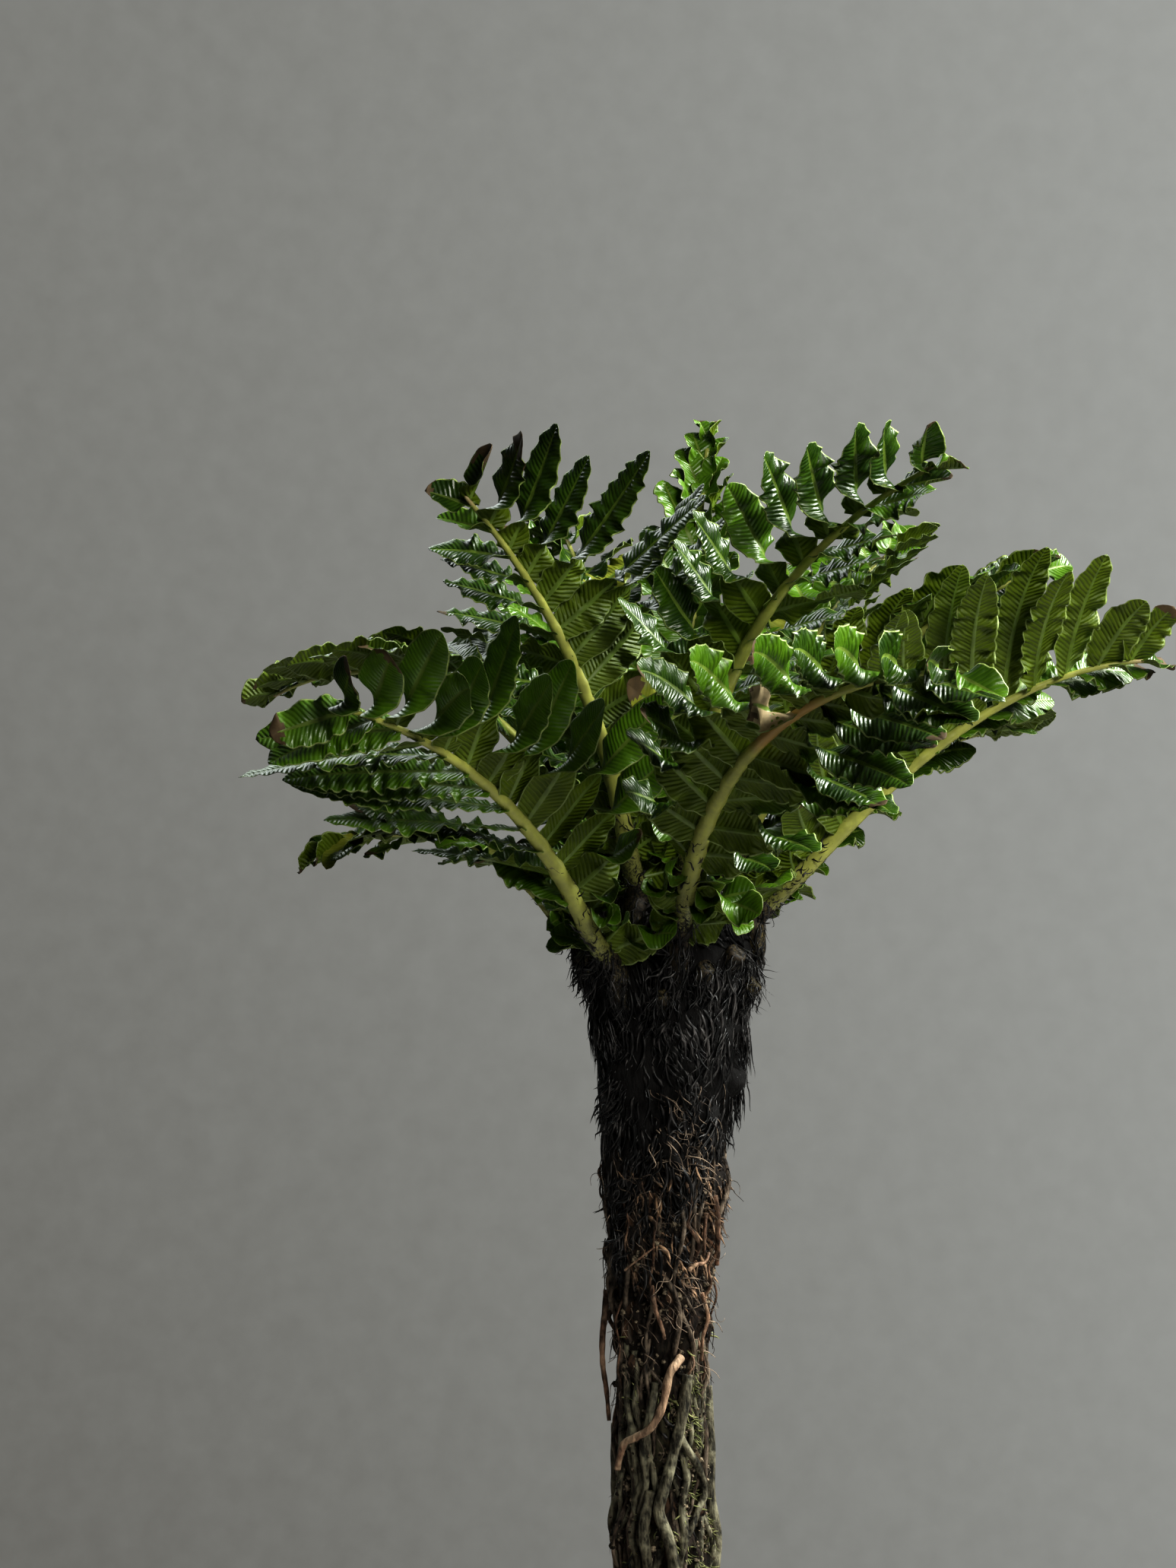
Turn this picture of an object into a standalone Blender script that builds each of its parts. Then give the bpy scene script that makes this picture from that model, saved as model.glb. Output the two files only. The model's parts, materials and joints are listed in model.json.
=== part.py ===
"""Dwarf tree fern in a plain clay pot.

Metres, +Z up. The origin is on the pot's flat underside, on the pot's axis. The trunk stands in the
filled pot, flares out at the soil and swells towards its scaly crown, a dome that every frond starts
from. A frond is one rib with a row of thin, sagging leaflets down each side.
"""
import math

import bmesh
import bpy
import numpy as np
from mathutils.bvhtree import BVHTree

GAP = 0.0003                # between pieces that touch on the real plant
SEAT_GAP = 0.0002           # from a rib's foot to the round that the trunk's flat faces lie inside

# Pot and soil
POT_HEIGHT = 0.085
POT_MOUTH_RADIUS = 0.060
POT_FOOT_RADIUS = 0.043
POT_WALL = 0.0050
POT_FLOOR = 0.0070
POT_COLLAR = 0.018          # height of the thick band round the mouth
POT_COLLAR_STEP = 0.0030    # how far the band stands out of the wall
POT_STEPS = 36
SOIL_TOP = 0.078

# Trunk
TRUNK_WAIST_RADIUS = 0.0112
CROWN_RADIUS = 0.024
CROWN_HEIGHT = 0.272        # centre of the dome that the fronds start from
SWELL_START = 0.150         # height where the trunk begins to widen upwards
CROWN_LEAN = 0.0025         # how far the crown is off the pot's axis, towards +X
TRUNK_LEVELS = 14
FLARE = 0.0080              # extra radius at the soil
FLARE_FADE = 0.0110
KNOT_HEIGHT = 0.121         # lump of matted roots low on the trunk
KNOT_BULGE = 0.0016
KNOT_SPREAD = 0.008

# Aerial roots: start and end azimuth in degrees, start and end height, radius, bow off the trunk
ROOTS = {
    "loose_root": (294, 212, 0.172, 0.141, 0.0011, 0.0035),
    "standing_root": (178, 186, 0.186, 0.152, 0.0008, 0.0022),
    "root_strand_1": (300, 276, 0.166, 0.081, 0.0015, 0.0),
    "root_strand_2": (256, 236, 0.136, 0.081, 0.0014, 0.0),
    "root_strand_3": (20, -18, 0.160, 0.081, 0.0014, 0.0),
    "root_strand_4": (94, 64, 0.164, 0.081, 0.0015, 0.0),
    "root_strand_5": (160, 132, 0.150, 0.081, 0.0014, 0.0),
}
ROOT_POINTS = 13

# Fronds. heading: azimuth that the rib leaves the dome in, and swing: what it turns by on its way.
# seat, rise and end: elevation of the rib at the dome, just above it and at the tip. bend: above 1
# the rib arches late. roll lifts the left side of the blade, vee lifts the leaflets of both sides.
# Each frond's two sides have a habit of their own: the lift of the leaflets out of the blade at
# the rib's foot and tip, their angle to the rib there, how far they sag, their length against the
# usual, and the twist of their blades at their own foot and tip. Angles are in degrees.
FRONDS = [
    dict(heading=232, length=0.118, seat=6, rise=67, end=10, swing=-10, bend=0.85, roll=20,
         left=(43, 13, 75, 66, 47, 1.08, 0, -125), right=(30, -15, 68, 56, 28, 1.2, -50, -85)),
    dict(heading=274, length=0.148, seat=23, rise=51, end=-2, swing=45, bend=1.2, roll=-20,
         left=(0, -36, 75, 27, 62, 1.0, 10, -110), right=(14, 0, 58, 74, 62, 0.9, 15, -115)),
    dict(heading=238, length=0.118, seat=50, rise=81, end=43, swing=-26, bend=0.8, roll=22,
         left=(37, 42, 95, 64, 32, 1.14, 10, -115), right=(22, 6, 88, 50, 45, 0.7, -35, -85)),
    dict(heading=283, length=0.148, seat=60, rise=81, end=20, swing=37, bend=0.7, roll=-10,
         left=(12, -22, 70, 30, 62, 0.62, -34, -84), right=(28, 45, 70, 52, 55, 0.82, 0, -125)),
    dict(heading=350, length=0.126, seat=31, rise=47, end=2, swing=14, bend=2.3, roll=-12,
         left=(22, 12, 78, 50, 40, 0.9, -26, -75), right=(40, 50, 83, 60, 30, 1.08, 20, -10)),
    dict(heading=350, length=0.122, seat=58, rise=70, end=19, swing=14, bend=1.0, roll=-10,
         left=(18, 14, 70, 30, 40, 0.75, -26, -75), right=(32, 20, 75, 32, 32, 0.62, 26, -15)),
    dict(heading=164, length=0.126, seat=42, rise=82, end=-30, swing=0, bend=1.2, roll=0,
         left=(26, 16, 80, 50, 42, 0.78, 10, -40), right=(26, 16, 80, 50, 42, 0.78, 10, -40)),
    dict(heading=112, length=0.128, seat=55, rise=76, end=30, swing=-8, bend=1.0, roll=8,
         left=(28, 20, 78, 46, 40, 0.95, 12, -40), right=(28, 20, 78, 46, 40, 0.95, 12, -40)),
    dict(heading=78, length=0.134, seat=66, rise=82, end=56, swing=0, bend=1.0, roll=0,
         left=(32, 26, 70, 26, 38, 0.55, 12, -40), right=(32, 26, 70, 26, 38, 0.55, 12, -40)),
    dict(heading=40, length=0.132, seat=52, rise=78, end=24, swing=8, bend=1.0, roll=0,
         left=(28, 18, 74, 36, 42, 0.75, 12, -40), right=(28, 18, 74, 36, 42, 0.75, 12, -40)),
    dict(heading=18, length=0.100, seat=30, rise=62, end=4, swing=6, bend=1.0, roll=-6,
         left=(26, 14, 78, 46, 42, 0.9, 12, -40), right=(26, 14, 78, 46, 42, 0.9, 12, -40)),
    dict(heading=140, length=0.104, seat=50, rise=76, end=8, swing=6, bend=1.0, roll=0,
         left=(28, 18, 78, 46, 42, 0.9, 12, -40), right=(28, 18, 78, 46, 42, 0.9, 12, -40)),
    dict(heading=172, length=0.082, seat=16, rise=72, end=-28, swing=8, bend=0.9, roll=0,
         left=(6, -10, 80, 50, 45, 0.6, 10, -35), right=(6, -10, 80, 50, 45, 0.6, 10, -35)),
    dict(heading=116, length=0.122, seat=18, rise=56, end=-12, swing=10, bend=1.0, roll=6,
         left=(18, 8, 78, 46, 42, 0.95, 12, -40), right=(18, 8, 78, 46, 42, 0.95, 12, -40)),
    dict(heading=66, length=0.122, seat=20, rise=56, end=-10, swing=-8, bend=1.0, roll=-6,
         left=(18, 8, 78, 46, 42, 0.95, 12, -40), right=(18, 8, 78, 46, 42, 0.95, 12, -40)),
]
RIB_STEPS = 60
RIB_TURN = 0.05             # share of the length in which the rib turns up from the dome
ROLL_SHARE = 0.25           # share of the length in which the blade takes its full roll
RIB_BASE_RADIUS = 0.0030
RIB_TIP_RADIUS = 0.0006
RIB_RINGS = 11
RIB_FOOT = 0.012            # share of the length that stays square to the dome

# Leaflets
PAIRS = 13
FIRST_PAIR = 0.13           # shares of the rib where the first and last pairs stand
LAST_PAIR = 0.985
SIDE_SHIFT = 0.25           # how far the left side's leaflets are shifted, in spacings
LEAFLET_LENGTH = 0.048
LEAFLET_HALF_WIDTH = 0.0051
LEAFLET_HALF_THICKNESS = 0.00032
LEAFLET_STEPS = 10
LEAFLET_TURN = 14           # degrees that a leaflet curves forwards by
TURN_START = 0.22           # where along a leaflet its blade starts to turn over, halfway up the rib
TURN_SPAN = 0.36
TURN_DELAY = 0.5            # how much later that is on the leaflets nearer the rib's foot
STRAYS = (0.12, 11, 8, 24, 14)   # how far length, lift, angle and twist stray, as a share and in degrees
STRAY_SEED = 300
LEAFLET_RINGS = ((0.0, 0.22), (0.3, 1.0), (0.75, 0.85))     # share of the length, share of the width
SHORT_LEAFLET_RINGS = ((0.0, 0.25), (0.5, 1.0))
SHORT_LEAFLET = 0.037
BLADE_CLEARANCE = 0.0005    # how much a blade is thickened for the test against other fronds
SLIMS = (1.0, 0.8, 0.62, 0.48)      # shares of the width that a blade tries beside its neighbours
# What a leaflet that would touch another frond tries in turn: share of its length, extra lift
TRIES = ((1.0, 0), (1.0, 14), (1.0, -14), (0.8, 0), (0.8, 14), (0.6, 0), (0.6, -14), (0.42, 0))


# ---------------------------------------------------------------- Blender pieces

def clear_scene():
    for old in list(bpy.data.objects):
        bpy.data.objects.remove(old, do_unlink=True)


def make_material(name, colour, roughness):
    material = bpy.data.materials.new(name)
    material.use_nodes = True
    shader = material.node_tree.nodes["Principled BSDF"]
    shader.inputs["Base Color"].default_value = (*colour, 1.0)
    shader.inputs["Roughness"].default_value = roughness
    shader.inputs["Metallic"].default_value = 0.0
    return material


def make_collection(name):
    collection = bpy.data.collections.new(name)
    bpy.context.scene.collection.children.link(collection)
    return collection


def add_object(name, data, material, collection):
    data.materials.append(material)
    item = bpy.data.objects.new(name, data)
    collection.objects.link(item)
    return item


def evaluated_mesh(item):
    """The object's mesh with its modifiers or its bevel worked out."""
    graph = bpy.context.evaluated_depsgraph_get()
    return bpy.data.meshes.new_from_object(item.evaluated_get(graph))


def turned(name, profile, steps, material, collection):
    """A profile of (radius, height) points, outer side first and downwards, turned round Z."""
    mesh = bpy.data.meshes.new(name)
    points = [(radius, 0.0, height) for radius, height in profile]
    mesh.from_pydata(points, [(i, i + 1) for i in range(len(points) - 1)], [])
    item = add_object(name, mesh, material, collection)
    screw = item.modifiers.new("Turn", "SCREW")
    screw.steps = steps
    screw.render_steps = steps
    screw.use_merge_vertices = True
    screw.merge_threshold = 0.0001
    return item


def tube(name, points, radii, resolution, material, collection):
    """A closed tube through the points, with its own radius at each, as a mesh object."""
    widest = max(radii)
    curve = bpy.data.curves.new(name, "CURVE")
    curve.dimensions = "3D"
    curve.bevel_depth = widest
    curve.bevel_resolution = resolution
    curve.use_fill_caps = True
    spline = curve.splines.new("POLY")
    spline.points.add(len(points) - 1)
    for place, point, radius in zip(spline.points, points, radii):
        place.co = (*point, 1.0)
        place.radius = radius / widest
    guide = add_object(name + "_guide", curve, material, collection)
    mesh = evaluated_mesh(guide)
    bpy.data.objects.remove(guide, do_unlink=True)
    weld = bmesh.new()
    weld.from_mesh(mesh)
    bmesh.ops.remove_doubles(weld, verts=weld.verts, dist=1e-7)
    bmesh.ops.recalc_face_normals(weld, faces=weld.faces)
    weld.to_mesh(mesh)
    weld.free()
    mesh.materials.clear()
    return add_object(name, mesh, material, collection)


# ---------------------------------------------------------------- pot and soil

def make_pot(material, collection):
    collar_base = POT_HEIGHT - POT_COLLAR
    slope = (POT_MOUTH_RADIUS - POT_COLLAR_STEP - POT_FOOT_RADIUS) / collar_base
    wall_top = POT_FOOT_RADIUS + slope * collar_base
    rim = 0.0010
    inner_mouth = POT_MOUTH_RADIUS - POT_COLLAR_STEP - POT_WALL
    inner_foot = POT_FOOT_RADIUS + slope * POT_FLOOR - POT_WALL
    profile = [
        (0.0, POT_FLOOR),
        (inner_foot - rim, POT_FLOOR),
        (inner_foot, POT_FLOOR + rim),
        (inner_mouth, POT_HEIGHT - rim),
        (inner_mouth + rim, POT_HEIGHT),
        (POT_MOUTH_RADIUS - rim, POT_HEIGHT),
        (POT_MOUTH_RADIUS, POT_HEIGHT - rim),
        (POT_MOUTH_RADIUS, collar_base + rim),
        (POT_MOUTH_RADIUS - rim, collar_base),
        (wall_top, collar_base - rim),
        (POT_FOOT_RADIUS, rim),
        (POT_FOOT_RADIUS - rim, 0.0),
        (0.0, 0.0),
    ]
    turned("pot", profile, POT_STEPS, material, collection)
    return inner_foot, inner_mouth, rim


def make_soil(inner_foot, inner_mouth, rim, material, collection):
    """The fill, a gap clear of the pot's inner wall all round."""
    share = (SOIL_TOP - POT_FLOOR - 2 * rim) / (POT_HEIGHT - POT_FLOOR - 2 * rim)
    top = inner_foot + (inner_mouth - inner_foot) * share - GAP
    profile = [
        (0.0, SOIL_TOP),
        (top - rim, SOIL_TOP),
        (top, SOIL_TOP - rim),
        (inner_foot - GAP, POT_FLOOR + rim + GAP),
        (inner_foot - rim - GAP, POT_FLOOR + GAP),
        (0.0, POT_FLOOR + GAP),
    ]
    turned("soil", profile, POT_STEPS // 2, material, collection)


# ---------------------------------------------------------------- trunk and roots

def swell_share(height):
    return min(1.0, max(0.0, (height - SWELL_START) / (CROWN_HEIGHT - SWELL_START)))


def trunk_radius(height):
    swell = (CROWN_RADIUS - TRUNK_WAIST_RADIUS) * swell_share(height) ** 1.5
    flare = FLARE * math.exp(-(height - SOIL_TOP) / FLARE_FADE)
    knot = KNOT_BULGE * math.exp(-((height - KNOT_HEIGHT) / KNOT_SPREAD) ** 2)
    return TRUNK_WAIST_RADIUS + swell + flare + knot


def trunk_axis(height):
    return CROWN_LEAN * swell_share(height) ** 2


def make_trunk(material, collection):
    foot = SOIL_TOP + GAP
    levels = [foot, foot + 0.003, foot + 0.007, foot + 0.013]
    levels += list(np.linspace(foot + 0.022, CROWN_HEIGHT, TRUNK_LEVELS))
    points = [(trunk_axis(z), 0.0, z) for z in levels]
    radii = [trunk_radius(z) for z in levels]
    for angle in (25, 48, 68, 88):
        rise = math.radians(angle)
        points.append((CROWN_LEAN, 0.0, CROWN_HEIGHT + CROWN_RADIUS * math.sin(rise)))
        radii.append(CROWN_RADIUS * math.cos(rise))
    tube("trunk", points, radii, 6, material, collection)


def make_root(name, start, end, top, foot, radius, bow, material, collection):
    """A root down the trunk's side. It bows out by `bow`, or it lies on the trunk all the way."""
    points = []
    radii = []
    for i in range(ROOT_POINTS):
        share = i / (ROOT_POINTS - 1)
        height = top + (foot - top) * share
        sway = 4.0 * math.sin(2 * math.pi * share * 1.5)
        angle = math.radians(start + (end - start) * share + sway)
        off = trunk_radius(height) + radius + GAP + bow * math.sin(math.pi * min(1.0, share * 0.75))
        points.append((trunk_axis(height) + off * math.cos(angle), off * math.sin(angle), height))
        radii.append(radius * (1.0 - 0.35 * share if bow else 0.75 + 0.25 * share))
    tube(name, points, radii, 0, material, collection)


# ---------------------------------------------------------------- fronds

def unit(vector):
    return vector / np.linalg.norm(vector)


def rib_frames(frond):
    """Points of the rib with its direction, left side and upper side there, dome to tip."""
    seat = math.radians(frond["seat"])
    rise = math.radians(frond["rise"])
    end = math.radians(frond["end"])
    heading = math.radians(frond["heading"])
    step = frond["length"] / RIB_STEPS
    outwards = np.array([math.cos(seat) * math.cos(heading), math.cos(seat) * math.sin(heading), math.sin(seat)])
    point = np.array([CROWN_LEAN, 0.0, CROWN_HEIGHT]) + (CROWN_RADIUS + SEAT_GAP) * outwards
    frames = []
    for k in range(RIB_STEPS + 1):
        share = k / RIB_STEPS
        climb = rise + (end - rise) * share ** frond["bend"] - (rise - seat) * math.exp(-share / RIB_TURN)
        turn = heading + math.radians(frond["swing"]) * share
        along = np.array([math.cos(climb) * math.cos(turn), math.cos(climb) * math.sin(turn), math.sin(climb)])
        left = np.array([-math.sin(turn), math.cos(turn), 0.0])
        up = unit(np.cross(along, left))
        roll = math.radians(frond["roll"]) * min(1.0, share / ROLL_SHARE)
        rolled_left = left * math.cos(roll) + up * math.sin(roll)
        rolled_up = up * math.cos(roll) - left * math.sin(roll)
        frames.append((point, along, rolled_left, rolled_up))
        point = point + along * step
    return frames


def frame_at(frames, share):
    place = min(share, 0.999) * RIB_STEPS
    low = int(place)
    part = place - low
    return [a * (1 - part) + b * part for a, b in zip(frames[low], frames[low + 1])]


def rib_radius(share):
    return RIB_TIP_RADIUS + (RIB_BASE_RADIUS - RIB_TIP_RADIUS) * (1.0 - share) ** 1.1


def length_share(share):
    """Short round leaflets at the rib's foot, the longest past a third, short ones at its tip."""
    rise = min(1.0, max(0.0, (share - 0.10) / 0.28))
    rise = rise * rise * (3 - 2 * rise)
    fall = 1.0 - 0.72 * max(0.0, (share - 0.45) / 0.55) ** 1.6
    return (0.2 + 0.8 * rise) * fall


def leaflet_places():
    """Side of the rib, 1 for left, and share of its length for each leaflet."""
    places = []
    for pair in range(PAIRS):
        for side in (1, -1):
            shift = SIDE_SHIFT if side > 0 else 0.0
            share = FIRST_PAIR + (LAST_PAIR - FIRST_PAIR) * (pair + shift) / (PAIRS - 1 + SIDE_SHIFT)
            places.append((side, share))
    return places


def strays(index):
    """How far a frond's leaflets stray from its habit: in length, lift, angle, twist and sag."""
    return np.random.default_rng(STRAY_SEED + index).uniform(-1.0, 1.0, (2 * PAIRS, 5)) * STRAYS


def leaflet_line(frames, frond, side, share, stray, factor, lift):
    """Points along a leaflet's midrib, with the way across the blade and its normal there."""
    foot_lift, tip_lift, foot_fan, tip_fan, sag, scale, foot_twist, tip_twist = \
        frond["left" if side > 0 else "right"]
    base, along, left, up = frame_at(frames, share)
    along = unit(along)
    out = unit(left) * side
    up = unit(up)
    length = LEAFLET_LENGTH * scale * length_share(share) * factor * (1.0 + stray[0])
    raised = foot_lift + (tip_lift - foot_lift) * share + stray[1] + lift
    fan = foot_fan + (tip_fan - foot_fan) * share + stray[2]
    point = base
    line = []
    for k in range(LEAFLET_STEPS + 1):
        part = k / LEAFLET_STEPS
        rise = math.radians(raised - (sag + stray[4]) * part * part)
        spread = math.radians(fan - LEAFLET_TURN * part)
        turned = (part - TURN_START - TURN_DELAY * (0.5 - share)) / TURN_SPAN
        turned = min(1.0, max(0.0, turned))
        turned_by = turned * turned * (3 - 2 * turned)
        twist = math.radians(foot_twist + (tip_twist - foot_twist) * turned_by + stray[3])
        sideways = math.cos(rise) * out + math.sin(rise) * up
        direction = math.cos(spread) * along + math.sin(spread) * sideways
        face = unit(math.cos(rise) * up - math.sin(rise) * out)
        across = unit(np.cross(direction, face)) * side
        width_way = math.cos(twist) * across + math.sin(twist) * face
        normal = unit(np.cross(width_way, direction))
        line.append((point, width_way, normal))
        point = point + direction * (length / LEAFLET_STEPS)
    return line, length


def leaflet_body(line, length, slim=1.0, grow=0.0):
    """A thin closed blade: four-sided rings, thickest at the midrib, that end in a point. From
    ring to ring it takes the shorter way round, as a ring is the same after half a turn."""
    rings = SHORT_LEAFLET_RINGS if length < SHORT_LEAFLET else LEAFLET_RINGS
    half_width = min(LEAFLET_HALF_WIDTH, 0.36 * length) * slim
    points = []
    faces = []
    way_before = None
    for share, width in rings:
        point, width_way, normal = line[round(share * LEAFLET_STEPS)]
        if way_before is not None and np.dot(width_way, way_before) < 0:
            width_way, normal = -width_way, -normal
        way_before = width_way
        wide = half_width * width + grow
        thick = LEAFLET_HALF_THICKNESS + grow
        points += [point + width_way * wide, point + normal * thick,
                   point - width_way * wide, point - normal * thick]
    tip = line[-1][0]
    points.append(tip + unit(tip - point) * 6 * grow)
    last = len(points) - 1
    faces.append((0, 1, 2, 3))
    for ring in range(len(rings) - 1):
        for i in range(4):
            a = ring * 4 + i
            b = ring * 4 + (i + 1) % 4
            # The upper and lower faces of each half are split alike, so a twisted blade never
            # cuts through itself
            if i % 2 == 0:
                faces += [(a, a + 4, b + 4), (a, b + 4, b)]
            else:
                faces += [(a, a + 4, b), (a + 4, b + 4, b)]
    top = (len(rings) - 1) * 4
    for i in range(4):
        faces.append((top + i, last, top + (i + 1) % 4))
    return points, faces


def make_leaflet(name, points, faces, material, collection):
    mesh = bpy.data.meshes.new(name)
    mesh.from_pydata([tuple(p) for p in points], [], faces)
    form = bmesh.new()
    form.from_mesh(mesh)
    bmesh.ops.recalc_face_normals(form, faces=form.faces)
    form.to_mesh(mesh)
    form.free()
    return add_object(name, mesh, material, collection)


def blade_tree(points, faces):
    """A search tree and its box, in millimetres."""
    corners = np.array(points) * 1000.0
    tree = BVHTree.FromPolygons([tuple(corner) for corner in corners], faces)
    return tree, corners.min(axis=0), corners.max(axis=0)


def is_clear(body, placed):
    tree, low, high = body
    for other, other_low, other_high in placed:
        if np.any(low > other_high) or np.any(high < other_low):
            continue
        if tree.overlap(other):
            return False
    return True


def slimmed_leaflet(line, length, neighbours):
    """The widest blade of SLIMS that leaves the others on its side of the rib alone."""
    for slim in SLIMS:
        points, faces = leaflet_body(line, length, slim)
        if is_clear(blade_tree(points, faces), neighbours):
            break
    return points, faces


def make_rib(name, frames, material, collection):
    shares = [0.0, *np.linspace(RIB_FOOT, 1.0, RIB_RINGS - 1)]
    points = [frame_at(frames, s)[0] for s in shares]
    return tube(name, points, [rib_radius(s) for s in shares], 0, material, collection)


def mesh_body(item):
    """An object's mesh as a search tree with its box."""
    points = [np.array(v.co) for v in item.data.vertices]
    return blade_tree(points, [tuple(p.vertices) for p in item.data.polygons])


def make_fronds(material, collection):
    names = [f"frond_{number:02d}" for number in range(1, len(FRONDS) + 1)]
    frames = [rib_frames(frond) for frond in FRONDS]
    ribs = [make_rib(name, frame, material, collection) for name, frame in zip(names, frames)]
    rib_bodies = [mesh_body(rib) for rib in ribs]
    trunk = mesh_body(bpy.data.objects["trunk"])
    placed = []
    for index, (name, frond) in enumerate(zip(names, FRONDS)):
        others = placed + rib_bodies[:index] + rib_bodies[index + 1:] + [trunk]
        blades = make_collection(name + "_blades")
        own = {1: [], -1: []}
        straying = strays(index)
        for number, (side, share) in enumerate(leaflet_places()):
            for factor, lift in TRIES:
                line, length = leaflet_line(frames[index], frond, side, share, straying[number], factor, lift)
                if is_clear(blade_tree(*leaflet_body(line, length, 1.0, BLADE_CLEARANCE)), others):
                    points, faces = slimmed_leaflet(line, length, own[side])
                    own[side].append(blade_tree(points, faces))
                    make_leaflet(f"{name}_leaflet_{number:02d}", points, faces, material, blades)
                    break
        placed += own[1] + own[-1]
        join_blades(ribs[index], blades)


def drop_slivers(mesh):
    """Keeps the largest closed shell and drops the crumbs that grazing blades leave behind."""
    form = bmesh.new()
    form.from_mesh(mesh)
    waiting = set(form.faces)
    shells = []
    while waiting:
        shell = []
        border = [waiting.pop()]
        while border:
            face = border.pop()
            shell.append(face)
            for edge in face.edges:
                for other in edge.link_faces if len(edge.link_faces) == 2 else ():
                    if other in waiting:
                        waiting.remove(other)
                        border.append(other)
        shells.append(shell)
    shells.sort(key=len)
    for shell in shells[:-1]:
        bmesh.ops.delete(form, geom=shell, context="FACES")
    form.to_mesh(mesh)
    form.free()


def join_blades(rib, blades):
    """Fuses the leaflets to their rib and removes the loose ones."""
    union = rib.modifiers.new("Leaflets", "BOOLEAN")
    union.operation = "UNION"
    union.operand_type = "COLLECTION"
    union.collection = blades
    union.solver = "EXACT"
    fused = evaluated_mesh(rib)
    rib.modifiers.clear()
    drop_slivers(fused)
    rib.data = fused
    for blade in list(blades.objects):
        bpy.data.objects.remove(blade, do_unlink=True)
    bpy.data.collections.remove(blades)


clear_scene()
fern = make_collection("tree_fern")
clay = make_material("fired clay", (0.35, 0.20, 0.13), 0.85)
earth = make_material("potting soil", (0.035, 0.025, 0.018), 0.95)
bark = make_material("scaly root trunk", (0.035, 0.026, 0.020), 0.8)
root_skin = make_material("aerial root", (0.12, 0.075, 0.050), 0.75)
leaf = make_material("frond green", (0.045, 0.12, 0.020), 0.4)

inner_foot, inner_mouth, rim = make_pot(clay, fern)
make_soil(inner_foot, inner_mouth, rim, earth, fern)
make_trunk(bark, fern)
for root_name, (start, end, top, foot, radius, bow) in ROOTS.items():
    make_root(root_name, start, end, top, foot, radius, bow, root_skin, fern)
make_fronds(leaf, fern)
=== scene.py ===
import json
import math

import bmesh
import bpy
import numpy as np
from mathutils.kdtree import KDTree
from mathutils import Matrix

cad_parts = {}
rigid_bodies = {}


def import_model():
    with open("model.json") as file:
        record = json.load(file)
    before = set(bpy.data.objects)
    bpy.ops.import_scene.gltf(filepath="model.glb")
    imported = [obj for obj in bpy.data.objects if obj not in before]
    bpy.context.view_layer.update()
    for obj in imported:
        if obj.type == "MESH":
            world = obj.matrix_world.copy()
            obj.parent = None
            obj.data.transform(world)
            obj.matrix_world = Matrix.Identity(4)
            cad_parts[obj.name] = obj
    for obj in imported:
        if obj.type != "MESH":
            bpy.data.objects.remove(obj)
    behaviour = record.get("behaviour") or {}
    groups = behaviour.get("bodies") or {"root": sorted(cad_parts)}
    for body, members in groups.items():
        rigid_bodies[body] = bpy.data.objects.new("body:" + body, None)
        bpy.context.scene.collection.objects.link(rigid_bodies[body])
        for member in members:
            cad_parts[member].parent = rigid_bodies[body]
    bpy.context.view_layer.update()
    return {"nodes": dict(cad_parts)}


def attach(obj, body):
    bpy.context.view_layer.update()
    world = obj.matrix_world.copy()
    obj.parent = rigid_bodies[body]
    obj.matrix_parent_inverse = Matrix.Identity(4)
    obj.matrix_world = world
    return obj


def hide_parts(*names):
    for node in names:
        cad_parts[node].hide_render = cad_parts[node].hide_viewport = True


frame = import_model()


# ------------------------------------------------------------------ studio
# A quiet room with a mottled grey wall far behind and a pale round table. One broad window of
# light stands high on the right, and two weaker ones, behind on the left and in front on the
# right, open up the shadows.

EYE = (-0.0193, -0.80, 0.3192)
LENS = 69.8
SENSOR = 36.0
GAMMA = 0.8
WALL_DARK = (0.188, 0.184, 0.168)
WALL_LIGHT = (0.459, 0.469, 0.449)
WALL_MOTTLE = 0.16
ROOM_GLOOM = (0.012, 0.013, 0.013)
ROOM_GLOW = (0.085, 0.090, 0.086)
TABLE_RADIUS = 0.42
TABLE_DARK = (0.38, 0.37, 0.355)
TABLE_LIGHT = (0.45, 0.44, 0.425)
WINDOWS = (     # name, place, height that it faces, size, power, colour
    ("window", (0.80, 0.05, 0.95), 0.33, (0.55, 0.4), 30.0, (0.98, 1.0, 0.96)),
    ("far_window", (-0.35, 0.75, 0.95), 0.33, (0.6, 0.5), 4.0, (0.93, 1.0, 0.97)),
    ("near_window", (0.52, -0.82, 0.72), 0.28, (0.4, 0.3), 8.0, (1.0, 0.98, 0.90)),
)

scene = bpy.context.scene
camera = bpy.data.objects.new("camera", bpy.data.cameras.new("camera"))
camera.data.lens = LENS
camera.data.sensor_width = SENSOR
camera.data.clip_start = 0.02
camera.location = EYE
camera.rotation_euler = (math.radians(90), 0.0, 0.0)
scene.view_settings.view_transform = "Standard"
scene.view_settings.gamma = GAMMA
scene.collection.objects.link(camera)
scene.camera = camera


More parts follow.
